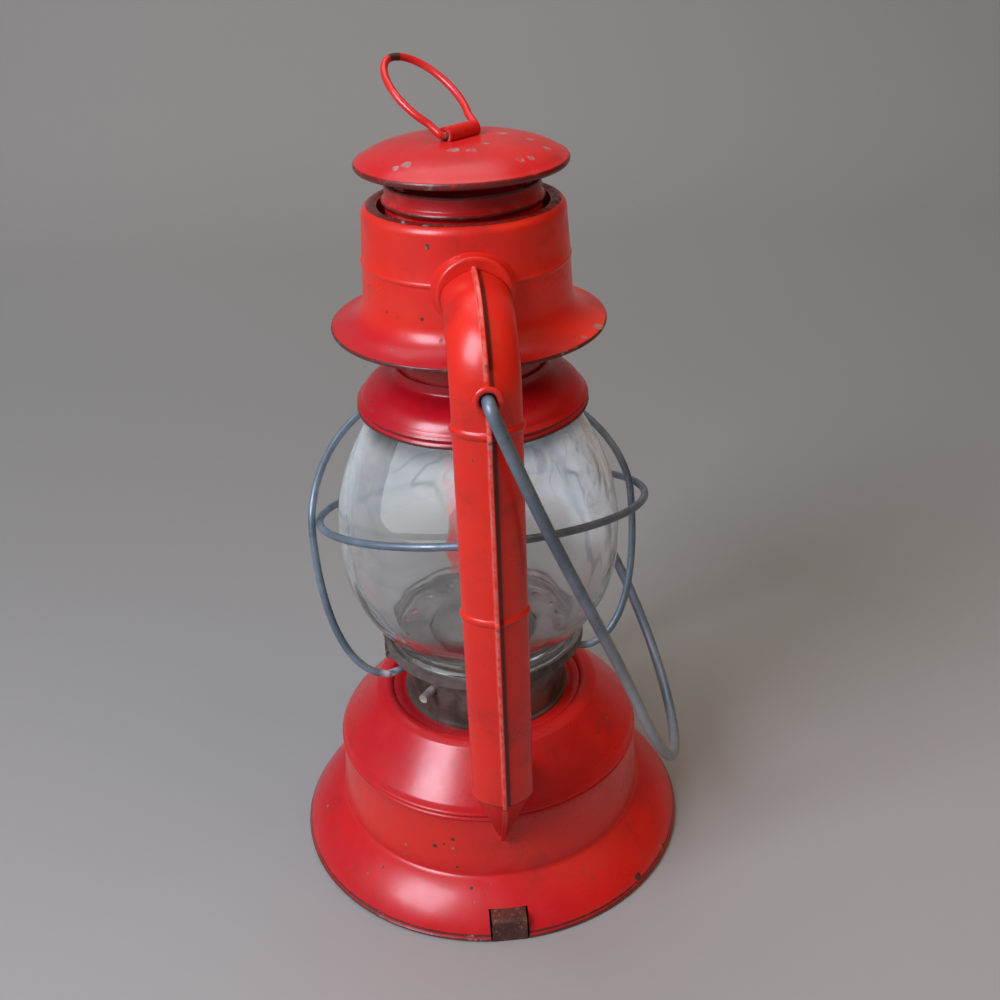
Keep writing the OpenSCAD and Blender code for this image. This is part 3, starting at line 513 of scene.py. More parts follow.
def glass(name):
    """Thin blown glass: clear in front, with painted shade below and at the neck, and behind it a cloudy
    milky film with dark streaks that is mostly painted light and reflection.
    """
    s = Shader(name)
    x, _, z = s.split()
    wave = s.noise(24, 2, 0.45, warp=0.5)
    cloud = s.noise(40, 4, 0.6, warp=0.7)
    # The far side is painted milky: painted light and reflection
    behind = s.step(x, 0.020, -0.020, 0.22, 0.95)
    painted_milk = s.math("MULTIPLY", behind, s.step(cloud, 0.25, 0.70, 0.60, 1.0))
    painted_milk = s.math("MULTIPLY", painted_milk, s.step(z, 0.076, 0.104, 0.04, 1.0))
    folds = s.math("ABSOLUTE", s.math("SUBTRACT", s.noise(26, 2, 0.5, warp=1.6), 0.5))
    streaks = s.math("MULTIPLY", s.step(folds, 0.004, 0.030, 1.0, 0.0), s.step(s.noise(30, 2), 0.45, 0.60))
    milk = s.mix(s.step(s.noise(70, 4, 0.65, warp=1.2), 0.35, 0.65), MILK_BLUE, MILK_WHITE)
    milk = s.mix(s.math("MULTIPLY", streaks, 0.65), milk, STREAK)
    tone = s.mix(painted_milk, CLEAR, milk)
    # Painted shade on the lower glass
    tone = s.mix(s.step(z, 0.098, 0.078, 0.0, 0.55), tone, LOW_GLASS_SHADE)
    # Painted shade at the neck under the bell
    tone = s.mix(s.step(z, 0.1335, 0.1385, 0.0, 0.75), tone, NECK_SHADE)
    ripple = s.math("ADD", wave, s.math("MULTIPLY", s.noise(60, 1, warp=0.8), 0.16))
    s.bsdf.inputs["IOR"].default_value = 1.46
    s.bsdf.inputs["Specular IOR Level"].default_value = 0.26
    s.set(Base_Color=tone,
          Roughness=s.step(s.noise(150, 3), 0.40, 0.80, 0.03, 0.10),
          Transmission_Weight=s.step(painted_milk, 0.0, 1.0, 0.99, 0.60),
          Normal=s.bump(ripple, 0.35, 0.006))
    return s.material


def cotton(name):
    """Woven wick, burnt black at its upper end."""
    s = Shader(name)
    z = s.split()[2]
    weave = s.noise(1500, 2)
    burnt = s.step(s.math("ADD", z, s.math("MULTIPLY", s.noise(300, 3), 0.003)), 0.069, 0.0735)
    tone = s.mix(weave, COTTON_DARK, COTTON_PALE)
    s.set(Base_Color=s.mix(burnt, tone, CHAR), Roughness=s.step(weave, 0.0, 1.0, 0.8, 0.95),
          Normal=s.bump(weave, 0.5, 0.0004))
    return s.material


def rubber(name):
    s = Shader(name)
    grain = s.noise(600, 3)
    s.set(Base_Color=s.mix(grain, RUBBER_DARK, RUBBER_PALE),
          Roughness=s.step(grain, 0.2, 0.8, 0.55, 0.8), Normal=s.bump(grain, 0.2, 0.0002))
    return s.material


# Levels of the lantern, in millimetres

BASE_R, HEM_R, CREASE_Z = 58.5, 1.2, 13.0
WALL_R, SEAM_R, SEAM_Z = 46.0, 44.5, 34.0
CREST_R, CREST_Z = 30.0, 50.0
WELL_R, WELL_Z = 25.1, 48.0
PLATE_R, PLATE_Z = 29.3, 67.0
GLOBE_R, MOUTH_R, GLOBE_Z, GLOBE_H = 39.5, 27.0, 67.9, 75.5
GLOBE_TOP = GLOBE_Z + GLOBE_H
BELL_R, BELL_Z, BELL_H = 31.0, 141.2, 10.7
BELL_TOP = BELL_Z + BELL_H
CHIMNEY_R = 19.5
BRIM_R, BRIM_Z, HOOD_R, HOOD_DRAW, HOOD_H = 35.7, 163.8, 27.0, 1.3, 32.1
HOOD_TOP = BRIM_Z + HOOD_H
HOLE_R = 21.6
CAP_R, CAP_Z, CAP_RISE = 26.6, 205.3, 5.3
CAP_TOP = CAP_Z + CAP_RISE
TUBE_X, TUBE_W, TUBE_D, BEND_R = 52.0, 16.3, 13.0, 16.0
TUBE_Z, TUBE_LOW = 180.4, 50.0
BEND_Z = TUBE_Z - BEND_R
BANDS = (108.0, 157.9)
PIVOT_Z = 166.9

# Wear seen in the photograph: the middle and the width of each chip or scrape, in millimetres

TANK_CHIPS = (((41.0, -19.3, 21.9), 1.5), ((42.7, -14.1, 25.4), 1.3), ((42.9, -14.5, 22.3), 1.4),
              ((42.0, -16.6, 23.3), 1.2), ((36.6, -27.9, 15.2), 1.2), ((43.9, -13.5, 15.8), 0.9),
              ((41.4, 39.4, 2.7), 3.0), ((30.2, 48.9, 2.2), 3.5))
HOOD_CHIPS = (((23.9, -10.3, 191.3), 1.6), ((16.9, -20.8, 173.6), 0.8), ((20.5, 15.5, 176.0), 0.8))
HOOD_SCRAPES = (((14.0, 31.5, 165.4), 3.4), ((21.0, 27.0, 165.6), 2.4))
CAP_SCRAPES = (((16.1, -13.7, 208.5), 3.0), ((16.2, -16.2, 207.8), 2.2), ((17.2, 12.4, 208.5), 2.6),
               ((15.5, 15.3, 208.3), 2.2), ((11.6, -2.5, 210.3), 3.4), ((12.6, 1.6, 210.3), 3.0),
               ((7.2, 5.6, 210.4), 2.2), ((-3.1, 10.7, 210.3), 2.6), ((1.8, 16.7, 209.6), 2.2),
               ((7.1, 20.2, 208.5), 2.4))
GUARD_SCRAPES = (((16.0, -28.6, 65.4), 3.6),)
TUBE_CHIPS = (((57.5, 4.5, 61.0), 1.1), ((58.6, 0.4, 107.0), 1.2), ((58.4, 0.5, 157.0), 1.1),
              ((57.0, -3.6, 152.0), 1.0))
TUBE_SCRAPES = (((59.6, -0.3, 156.1), 1.7), ((59.6, -0.3, 106.3), 1.7), ((59.6, -0.3, 51.0), 2.0))
FOOT_SCRAPES = (((58.6, -0.3, 48.2), 2.2),)
RING_CHIPS = (((-17.0, -14.8, 227.0), 4.5), ((-13.0, -17.5, 223.0), 3.0))
RING_SCRAPES = (((3.3, -3.7, 211.9), 3.0),)

# Tank side, with a notch for the clip

NOTCH_LOW, NOTCH_HIGH = (51.0, -5.5, -2), (70, 5.5, 7.8)
SEAM_BEAD, SEAM_BEAD_W = 0.5, 1.5
# The tank wall's warmer band is painted bounce light from the floor
red_tank = enamel("tank_enamel", warm=0.16, painted_warm_band=(24.0, 14.0), rims=((58.4, 0.35),),
                  levels=((2.0, 0.75), (0.2, 0.8)), spots=TANK_CHIPS)
hem = [(r, max(z, 0)) for r, z in arc(BASE_R - HEM_R, HEM_R - 0.2, HEM_R, -200, 10, 14)]
skirt = bow((BASE_R - 0.3, HEM_R), (BASE_R - 1.8, CREASE_Z * 0.42), (WALL_R + 5.0, CREASE_Z * 0.82),
            (WALL_R + 0.6, CREASE_Z - 0.3), 28)
crease = bow((WALL_R + 0.42, CREASE_Z - 0.12), (WALL_R + 0.2, CREASE_Z + 0.02),
             (WALL_R + 0.04, CREASE_Z + 0.2), (WALL_R, CREASE_Z + 0.5), 4)
wall = bow((WALL_R - 0.02, CREASE_Z + 0.9), (WALL_R - 0.1, CREASE_Z + 3), (SEAM_R, SEAM_Z - 6),
           (SEAM_R, SEAM_Z - 1.7), 14)
side_profile = hem + skirt[1:] + crease + wall + bead(SEAM_R, SEAM_Z - 0.8, SEAM_BEAD, SEAM_BEAD_W)
inner_side = beside(skirt[3:] + crease + wall, SHEET) + [(SEAM_R - SHEET, SEAM_Z - 0.05)]
tank_side = lathe("tank_shell", side_profile + inner_side[::-1], "frame", red_tank,
                  ["tank_side"], steps=216, wobble=0.10, size=34, seed=3)
cut(tank_side, cutter_box(NOTCH_LOW, NOTCH_HIGH))

# Tank shoulder, with a well for the burner and a hole for the filler neck

CREST_ROUND, WELL_HOLE = 2.2, 18.5
FILLER_TURN, FILLER_LEAN, FILLER_HOLE = math.radians(213), math.radians(48), 7.1
FILLER_R, FILLER_Z = 38.5, 42.9
shoulder = bow((SEAM_R - 0.2, SEAM_Z + 2.4), (SEAM_R - 3.6, SEAM_Z + 6.2), (CREST_R + 5.9, CREST_Z - 4.2),
               (CREST_R + 3, CREST_Z - 0.8), 30)
top_profile = (
    bead(SEAM_R, SEAM_Z + 0.8, SEAM_BEAD, SEAM_BEAD_W) + shoulder[1:]
    + arc(CREST_R, CREST_Z - CREST_ROUND, CREST_ROUND, 58, 150, 12)[1:]
    + [(WELL_R + 1.3, WELL_Z + 0.75), (WELL_R + 0.6, WELL_Z + 0.3), (WELL_R - 0.6, WELL_Z),
       (WELL_HOLE, WELL_Z)])
tank_top = lathe("tank_shoulder", shell(top_profile), "frame", red_tank, ["tank_top"],
                 steps=192, wobble=0.08, size=26, seed=5)
filler_turn = Matrix.Rotation(FILLER_TURN, 3, "Z")
filler = filler_turn @ Vector((FILLER_R, 0, FILLER_Z))
filler_way = filler_turn @ Vector((math.sin(FILLER_LEAN), 0, math.cos(FILLER_LEAN)))
cut(tank_top, cutter_rod(filler - filler_way * 5, filler_way, FILLER_HOLE, 15))

# Hood

ROLL, HOOD_ROUND = 0.7, 2.8
HOOD_BEAD, HOOD_BEAD_W = 0.33, 1.6
red_hood = enamel("hood_enamel", warm=0.74, cool=(166, 172), rims=((35.6, 0.6),),
                  levels=((163.9, 0.5), (195.8, 0.6)), spots=HOOD_CHIPS, bare_spots=HOOD_SCRAPES)
flare = BRIM_Z + 8
hood_top_r = HOOD_R - HOOD_DRAW
brim_roll = arc(BRIM_R - ROLL, BRIM_Z + ROLL, ROLL, -200, 40, 14)
hood_profile = (
    brim_roll
    + bow((BRIM_R - 0.9, BRIM_Z + 1.35), (BRIM_R - 4, BRIM_Z + 1.9), (HOOD_R + 0.6, BRIM_Z + 4),
          (HOOD_R, flare), 20)
    + [(HOOD_R - HOOD_DRAW * 0.2, flare + 4), (HOOD_R - HOOD_DRAW * 0.40, BRIM_Z + 17.0)]
    + bead(HOOD_R - HOOD_DRAW * 0.43, BRIM_Z + 18, HOOD_BEAD, HOOD_BEAD_W, 6)
    + [(HOOD_R - HOOD_DRAW * 0.7, BRIM_Z + 23), (hood_top_r, HOOD_TOP - 4)]
    + arc(hood_top_r - HOOD_ROUND, HOOD_TOP - HOOD_ROUND, HOOD_ROUND, 10, 84, 12)
    + [(HOLE_R + 0.5, HOOD_TOP - 0.25), (HOLE_R, HOOD_TOP - 0.6)])
inner_hood = beside(hood_profile[len(brim_roll) + 3:], SHEET)
lathe("hood_shell", hood_profile + inner_hood[::-1], "frame", red_hood, ["hood"], steps=192,
      wobble=0.10, size=22, seed=9)

# Bell

BELL_BEAD, BELL_BEAD_W = 0.5, 1.4
# The bell's red is the deepest crimson, partly painted shade under the brim
red_bell = enamel("bell_enamel", warm=0.02, dust=0.02, rims=((30.95, 0.4),), levels=((141.4, 0.5),))
neck = CHIMNEY_R + 0.1 + SHEET
bell_roll = arc(BELL_R - ROLL, BELL_Z + ROLL, ROLL, -200, 20, 12)
bell_path = (
    bell_roll + [(BELL_R - 0.6, BELL_Z + 1.5)]
    + bead(BELL_R - 0.62, BELL_Z + 2.4, BELL_BEAD, BELL_BEAD_W)
    + bow((BELL_R - 1.2, BELL_Z + 3.5), (BELL_R - 2.6, BELL_Z + BELL_H * 0.62),
          (neck + 5.5, BELL_Z + BELL_H * 0.72), (neck + 2.4, BELL_Z + BELL_H * 0.82), 20)
    + bow((neck + 1.8, BELL_TOP - 1.75), (neck + 0.9, BELL_TOP - 1.5), (neck, BELL_TOP - 1.0),
          (neck, BELL_TOP - 0.2), 6)
    + [(neck, BELL_TOP + 1.5)])
inner_bell = beside(bell_path[len(bell_roll) + 3:], SHEET)
lathe("bell_shell", bell_path + inner_bell[::-1], "chimney", red_bell, ["bell"], steps=168,
      wobble=0.06, size=20, seed=13)

# Cap

CAP_ROLL = 1.0
red_cap = enamel("cap_enamel", warm=0.30, rims=((26.5, 0.5),), levels=((204.5, 0.5),), bare_spots=CAP_SCRAPES,
                 dust=0.16)
cap_roll = arc(CAP_R - CAP_ROLL, CAP_Z, CAP_ROLL, -150, 60, 14)
cap_path = (
    cap_roll
    + bow((CAP_R - 1.2, CAP_Z + 1.1), (CAP_R * 0.8, CAP_Z + CAP_RISE * 0.8), (CAP_R * 0.5, CAP_TOP),
          (CAP_R * 0.12, CAP_TOP), 24)
    + [(0, CAP_TOP)])
under_cap = beside(cap_path[len(cap_roll):], SHEET)
lathe("cap_shell", cap_path + under_cap[::-1], "chimney", red_cap, ["cap"], steps=144,
      wobble=0.10, size=12, seed=17)

# Chimney, with a bead that rests on the hood

CHIMNEY_BEAD, CHIMNEY_BEAD_W = 0.9, 2.6
red_chimney = enamel("chimney_enamel", warm=0.30, dust=0.40, levels=((196.4, 1.0), (200.7, 0.6)))
chimney_path = (
    [(CHIMNEY_R, BELL_TOP - 2), (CHIMNEY_R, HOOD_TOP - 1.0)]
    + bead(CHIMNEY_R, HOOD_TOP + 0.5, CHIMNEY_BEAD, CHIMNEY_BEAD_W, 10)
    + [(CHIMNEY_R, HOOD_TOP + 5)])
lathe("chimney_shell", shell(chimney_path), "chimney", red_chimney, ["chimney"], steps=144)

# Globe

GLASS = 2.0
RING_RISE, RING_STEP, RINGS_OUT = 0.25, 0.42, 0.12
clear = glass("globe_glass")
foot_rings = [(MOUTH_R + RING_RISE * (1 - math.cos(2 * math.pi * i / 6)) + RINGS_OUT * i / 6,
               GLOBE_Z + 0.2 + i * RING_STEP) for i in range(13)]
globe_out = (
    foot_rings
    + bow((MOUTH_R + 1.4, GLOBE_Z + 5.8), (GLOBE_R - 2.0, GLOBE_Z + GLOBE_H * 0.19),
          (GLOBE_R, GLOBE_Z + GLOBE_H * 0.32), (GLOBE_R, GLOBE_Z + GLOBE_H * 0.45), 22)
    + bow((GLOBE_R - 0.05, GLOBE_Z + GLOBE_H * 0.5), (GLOBE_R - 0.6, GLOBE_Z + GLOBE_H * 0.7),
          (MOUTH_R + 4, GLOBE_TOP - 10), (MOUTH_R + 0.6, GLOBE_TOP - 5), 22)
    + [(MOUTH_R + 0.1, GLOBE_TOP - 4), (MOUTH_R, GLOBE_TOP - 3), (MOUTH_R, GLOBE_TOP - 0.4),
       (MOUTH_R - 0.4, GLOBE_TOP)])
inner_foot = [(MOUTH_R, GLOBE_Z + 0.2), (MOUTH_R + 0.5, GLOBE_Z + 3)]
globe_in = beside(inner_foot + globe_out[len(foot_rings):], GLASS)
globe = lathe("globe_body", globe_out + globe_in[::-1], "globe", clear, ["globe"], steps=168,
              wobble=0.22, size=22, seed=23, sharp=60)
globe.visible_shadow = False

# Guard wires: a tilted hoop round the globe, and a bow hooked under the plate

WIRE_END, WIRE_GAP = 0.3, 0.1
GUARD_D, GUARD_TILT, GUARD_TURN, GUARD_ROUND = 2.1, 16.0, 6.0, 45.5
GUARD_Z = GLOBE_Z + GLOBE_H * 0.55
GUARD_SHIFT = GUARD_D / 2 + WIRE_GAP
HOOP_STEPS, PLATE_T = 160, 0.6
zinc = galvanised("guard_zinc", bare=GUARD_SCRAPES)
guard_turn = Matrix.Rotation(math.radians(GUARD_TURN), 4, "Z")
ring_frame = (guard_turn @ Matrix.Translation((0, GUARD_SHIFT, GUARD_Z))
              @ Matrix.Rotation(math.radians(-GUARD_TILT), 4, "Y"))
ring_path = [ring_frame @ Vector((x, y, 0)) for x, y in arc(0, 0, GUARD_ROUND, 0, 360, HOOP_STEPS)[:-1]]
sweep("guard_hoop", ring_path, disc(GUARD_D, 16), "globe", zinc, ["guard_ring"],
      closed=True)

hook_z = PLATE_Z - PLATE_T - WIRE_GAP - GUARD_D / 2
neck_out = MOUTH_R + 9
half_bow = ([(11.6, PLATE_R - 4.3, hook_z), (13, PLATE_R - 1.1, hook_z)]
            + bow((13.4, PLATE_R + 0.4, hook_z + 0.3), (12.8, GUARD_ROUND - 4, hook_z + 2.5),
                  (6.5, GUARD_ROUND, GUARD_Z - 23), (1.5, GUARD_ROUND, GUARD_Z - 5), 20)
            + bow((0.9, GUARD_ROUND, GUARD_Z - 3), (-2.5, GUARD_ROUND, GLOBE_TOP - 20),
                  (1.8 - neck_out, neck_out * 0.92, GLOBE_TOP - 11), (-neck_out, 0, GLOBE_TOP - 9.5), 24))
bow_path = half_bow + [(x, -y, z) for x, y, z in half_bow[-2::-1]]
bow_frame = guard_turn @ Matrix.Translation((0, -GUARD_SHIFT, 0))
sweep("guard_wire", [bow_frame @ Vector(p) for p in bow_path], disc(GUARD_D, 16), "globe",
      zinc, ["guard_bow"], round_end=WIRE_END)

# Bail, a little slimmer than its solid so that it stays inside the solid's box

BAIL_D, BAIL_L, BAIL_HALF, BAIL_LEAN, BAIL_SKEW, BAIL_BEND = 3.3, 151.5, 41.0, 22.5, 0.028, 2.6
BAIL_SLIM, BAIL_STUB, ARM_STEPS = 0.16, 5.2, 28
zinc_bail = galvanised("bail_zinc", pale_below=110)
bail_arm = BAIL_L - BAIL_HALF
bail_x = TUBE_X + TUBE_D / 2 + 1.0 + 0.3 + BAIL_BEND
start = bail_x - BAIL_BEND
half_bail = arc(start, BAIL_BEND, BAIL_BEND, -90, 0, 6)
for k in range(1, ARM_STEPS + 1):
    share = k / ARM_STEPS
    half_bail.append((BAIL_HALF + (bail_x - BAIL_HALF) * (0.5 + 0.5 * math.cos(math.pi * share)),
                      BAIL_BEND + (bail_arm - BAIL_BEND) * share))
half_bail += arc(0, bail_arm, BAIL_HALF, 0, 90, 24)[1:]
bail_flat = half_bail + [(-x, v) for x, v in half_bail[-2::-1]]
bail_frame = Matrix.Translation((0, 0, PIVOT_Z)) @ Matrix.Rotation(math.radians(BAIL_LEAN), 4, "X")
bail_path = [bail_frame @ Vector((x, -BAIL_SKEW * x / BAIL_HALF * v, -v)) for x, v in bail_flat]
bail_path = ([Vector((start - BAIL_STUB, 0, PIVOT_Z))] + bail_path
             + [Vector((BAIL_STUB - start, 0, PIVOT_Z))])
sweep("bail_wire", bail_path, disc(BAIL_D - BAIL_SLIM, 20), "bail", zinc_bail, ["bail"],
      side=(0, 1, 0), round_end=WIRE_END)

# Air tubes, with a fin that fades out at the hood and round the bail's eyes

FIN_H, FIN_T, BEAD, BEAD_W = 1.2, 1.2, 0.62, 2.3
FIN_END, FIN_FADE, EYE_REACH, EYE_FADE, EYE_HOLE = 29.2, 0.6, 3.7, 0.7, 2.85
UPRIGHT_X, OUTLINE_STEPS = 50, 22
ROOT_PLACES = (36, 34, 32, 30.2, 29.6, 29.0, 28, 26, 24, 22.2)
red_tube = enamel("tube_enamel", warm=0.74, gloss=0.26, fin=True, levels=((50.0, 0.5),), spots=TUBE_CHIPS,
                  bare_spots=TUBE_SCRAPES)


def almond(y, gap):
    """Depth of a tube's section at a distance from its middle."""
    return (TUBE_D / 2 + gap) * math.sqrt(max(1 - (abs(y) / (TUBE_W / 2 + gap)) ** 1.3, 0))


def tube_outline(gap, fin):
    """A tube's section, with its seam standing out on one side by a share of its full height."""
    half = TUBE_W / 2 + gap
    ys = [half * math.sin(math.pi / 2 * k / OUTLINE_STEPS) for k in range(OUTLINE_STEPS, 0, -1)]
    ys = [y for y in ys if y > FIN_T / 2 + 0.1]
    crown = TUBE_D / 2 + FIN_H + gap
    crest_wear_and_highlight = [(FIN_T / 2, 0.0), (FIN_T / 2 - 0.02, 0.75), (FIN_T / 2 - 0.25, 1.0)]
    crest_wear_and_highlight = [(y, almond(y, gap) + fin * share * (crown - almond(y, gap))) for y, share in crest_wear_and_highlight]
    crest_wear_and_highlight.append((0.0, almond(0, gap) + fin * FIN_H))
    outer = [(almond(y, gap), y) for y in ys] + [(x, y) for y, x in crest_wear_and_highlight]
    outer += [(x, -y) for x, y in outer[-2::-1]]
    return outer + [(-almond(y, gap), -y) for y in ys[1:]] + [(-almond(0, gap), 0.0)] + [
        (-almond(y, gap), y) for y in ys[:0:-1]]


def tube(name, node, way):
    """A hollow tube from its foot up round the bend and in to the hood, with two bands."""
    heights = {TUBE_LOW + (BEND_Z - TUBE_LOW) * k / 30 for k in range(31)}
    heights |= {band + BEAD_W * k / 10 for band in BANDS for k in range(-6, 7)}
    path = [(TUBE_X, z) for z in sorted(heights)]
    path += [(TUBE_X - BEND_R + x, BEND_Z + z) for x, z in arc(0, 0, BEND_R, 2, 88, 43)]
    path += [(x, TUBE_Z) for x in ROOT_PLACES]
    walls, bores = [], []
    for x, z in path:
        upright = x > UPRIGHT_X
        swelling = max(math.cos(math.pi * min(abs(z - band) / BEAD_W, 0.5)) for band in BANDS) * BEAD
        past_hood = min(max((x - FIN_END) / FIN_FADE, 0), 1)
        past_eye = min(max((abs(z - PIVOT_Z) - EYE_REACH) / EYE_FADE, 0 if upright else 1), 1)
        walls.append(tube_outline(swelling if upright else 0, past_hood * past_eye))
        bores.append(tube_outline(-SHEET, 0))
    piece = sweep(name, [(way * x, 0, z) for x, z in path], lambda i: walls[i], "frame",
                  red_tube, [node], side=(way, 0, 0), hollow=lambda i: bores[i], sharp=32)
    cut(piece, cutter_rod((way * TUBE_X, 0, PIVOT_Z), (way, 0, 0), EYE_HOLE, 14))


tube("tube_sheet_right", "air_tube_right", 1)
tube("tube_sheet_left", "air_tube_left", -1)

# Feet of the tubes

FOOT_TIP = ((40.0, 47.1), (-1.1, 1.1), (29.0, 29.8))
FOOT_ROOT = ((34.9, 42.8), (-6.95, 6.95), (42.0, 48.4))
KEEL_Z, FOLD_ROUND = 27.0, 0.35
red_plain = enamel("part_enamel", warm=0.6, bare_spots=FOOT_SCRAPES)


def tube_foot(name, node, way):
    """The tapered foot under a tube, with a keel that runs down on to the tank."""
    points = [(TUBE_X + x, y, TUBE_LOW) for x, y in tube_outline(-SHEET / 2, 0)]
    points += list(product(*FOOT_TIP)) + list(product(*FOOT_ROOT))
    bm = bmesh.new()
    bmesh.ops.convex_hull(bm, input=[bm.verts.new((way * x, y, z)) for x, y, z in points])
    bmesh.ops.delete(bm, geom=[v for v in bm.verts if not v.link_faces], context="VERTS")
    bmesh.ops.dissolve_limit(bm, angle_limit=math.radians(1), verts=bm.verts, edges=bm.edges)
    folds = [e for e in bm.edges if e.calc_face_angle(0) > math.radians(25) and e.calc_length() > 2]
    bmesh.ops.bevel(bm, geom=folds, offset=FOLD_ROUND, segments=2, affect="EDGES", profile=0.5)
    bm.verts.index_update()
    verts = [v.co.copy() for v in bm.verts]
    faces = [[v.index for v in f.verts] for f in bm.faces]
    bm.free()
    tube_out = TUBE_X + TUBE_D / 2
    keel = [(TUBE_X, TUBE_LOW), (tube_out + FIN_H, TUBE_LOW), (tube_out + FIN_H / 2, TUBE_LOW - 3),
            (WALL_R + SHEET, KEEL_Z), (WALL_R - 3, KEEL_Z)]
    base, n = len(verts), len(keel)
    verts += [(way * x, y, z) for y in (-FIN_T / 2, FIN_T / 2) for x, z in keel]
    faces += [[base + k for k in range(n)], [base + n + k for k in range(n)]]
    faces += [[base + k, base + (k + 1) % n, base + n + (k + 1) % n, base + n + k] for k in range(n)]
    make(name, verts, faces, "frame", red_plain, [node])


tube_foot("foot_sheet_right", "tube_foot_right", 1)
tube_foot("foot_sheet_left", "tube_foot_left", -1)

# Eyes that hold the bail: a sleeve in the tube's wall and a rolled lip outside it

EYE_R, SLEEVE_R, LIP_R, SLEEVE_IN, LIP_H, EYE_OUT = 1.95, 2.75, 3.45, -1.7, 0.9, 0.1
red_eye = enamel("eye_enamel", warm=0.6, dust=0.5)
eye = [(EYE_R, SLEEVE_IN), (SLEEVE_R, SLEEVE_IN), (SLEEVE_R, 0.0), (LIP_R - 0.2, 0.0), (LIP_R, 0.2),
       (LIP_R, 0.5), (LIP_R - 0.25, LIP_H - 0.12), (SLEEVE_R + 0.05, LIP_H), (EYE_R + 0.4, LIP_H - 0.08),
       (EYE_R + 0.1, 0.55), (EYE_R, 0.2)]
eye_place = Matrix.Translation((TUBE_X + TUBE_D / 2 + EYE_OUT, 0, PIVOT_Z))
eye_frame = eye_place @ Matrix.Rotation(math.pi / 2, 4, "Y")
lathe("bail_eyes", eye, "frame", red_eye, ["bail_eyelets"], steps=48,
      frames=(eye_frame, Matrix.Rotation(math.pi, 4, "Z") @ eye_frame))

# Lift ring

RING_D, RING_LEAN, RING_TURN, RING_Z, RING_L = 1.9, 55.5, 131.0, 211.85, 28.0
RING_W, RING_STRETCH, SADDLE_HALF, RING_PLAY, RING_BEND = 19.5, 1.55, 5, 0.3, 1.2
wide = (RING_W - RING_D) / 2
tall = wide * RING_STRETCH
leg = SADDLE_HALF + RING_PLAY + RING_D / 2
ring_mid = RING_L - RING_D / 2 - tall
half_ring = arc(leg - RING_BEND, RING_BEND, RING_BEND, -90, 0, 6)
half_ring += [(wide * x, ring_mid + tall * v) for x, v in arc(0, 0, 1, -40, 90, 26)]
ring_flat = half_ring + [(-x, v) for x, v in half_ring[-2::-1]]
fold = (Matrix.Translation((0, 0, RING_Z)) @ Matrix.Rotation(math.radians(RING_TURN), 4, "Z")
        @ Matrix.Rotation(math.radians(-RING_LEAN), 4, "X"))
red_ring = enamel("ring_enamel", warm=0.40, spots=RING_CHIPS, dust=0.25, bare_spots=RING_SCRAPES)
sweep("lift_wire", [fold @ Vector((x, 0, v)) for x, v in ring_flat], disc(RING_D, 16), "lift_ring",
      red_ring, ["lift_ring"], side=fold.to_3x3() @ Vector((0, 1, 0)), closed=True)

# Materials for the solids that keep their own shape

SOLID_SHARP = 30
brown = tarnished("burner_tarnish", light=0.75)
plate_brown = tarnished("plate_tarnish", light=0.60, shine=0.25, dull=0.15)
dark_brown = tarnished("burner_soot", light=0.55)
bright = steel("bright_steel", light=1.7, shine=0.5)
dull = steel("dull_steel")
plain = {
    "tank_bottom": dull, "air_pan": dull, "filler_neck": dull, "hinge_pin": dull, "wick_shaft": bright,
    "wick_knob": bright, "base_clip": rusty("clip_rust"), "filler_gasket": rubber("gasket_rubber"),
    "burner_collar": brown, "burner_floor": dark_brown, "burner_cone": dark_brown, "wick_tube": dark_brown,
    "wick_wheels": brown, "hinge_ears": brown, "globe_plate": plate_brown, "wick": cotton("wick_cotton"),
    "filler_cap": red_plain,
    "tube_collars": red_hood, "hood_floor": red_hood, "cap_legs": red_chimney, "ring_saddle": red_ring,
}
for name, material in plain.items():
    solid = nodes[name]
    solid.data.materials.clear()
    solid.data.materials.append(material)
    solid.data.shade_smooth()
    solid.data.set_sharp_from_angle(angle=math.radians(SOLID_SHARP))

# Floor and backdrop, in metres


def backdrop():
    front, depth, height, bend, half_width = 1.2, 1.15, 1.6, 0.55, 2.2
    path = [(front, 0.0), (0.0, 0.0), (-depth + bend, 0.0)]
    path += arc(-depth + bend, bend, bend, -90, -180, 15)[1:]
    path += [(-depth, height)]
    verts = [(x, y, z) for x, z in path for y in (-half_width, half_width)]
    faces = [(2 * i, 2 * i + 1, 2 * i + 3, 2 * i + 2) for i in range(len(path) - 1)]
    mesh = bpy.data.meshes.new("studio_floor")
    mesh.from_pydata(verts, [], faces)
    mesh.shade_smooth()
    floor = bpy.data.objects.new("studio_floor", mesh)
    bpy.context.scene.collection.objects.link(floor)
    s = Shader("studio_grey")
    x = s.split()[0]
    # The floor is painted darker in a band behind the lantern and lighter in front and up the backdrop:
    # painted shade and light
    near = s.mix(s.step(x, -0.22, 0.10), FLOOR_MIDDLE, FLOOR_FRONT)
    s.set(Base_Color=s.mix(s.step(x, -0.85, -0.25), FLOOR_BACK, near),
          Roughness=s.step(s.noise(3, 2), 0.3, 0.7, 0.72, 0.80))
    mesh.materials.append(s.material)


backdrop()

# Light

AIM = (0, 0, 0.10)


def lamp(name, place, size, power, colour):
    """A soft box, in metres and watts, that faces the lantern."""
    data = bpy.data.lights.new(name, "AREA")
    data.shape = "RECTANGLE"
    data.size, data.size_y = size
    data.energy = power
    data.color = colour
    thing = bpy.data.objects.new(name, data)
    bpy.context.scene.collection.objects.link(thing)
    thing.location = place
    thing.rotation_mode = "QUATERNION"
    thing.rotation_quaternion = (Vector(AIM) - Vector(place)).to_track_quat("-Z", "Y")
    return thing


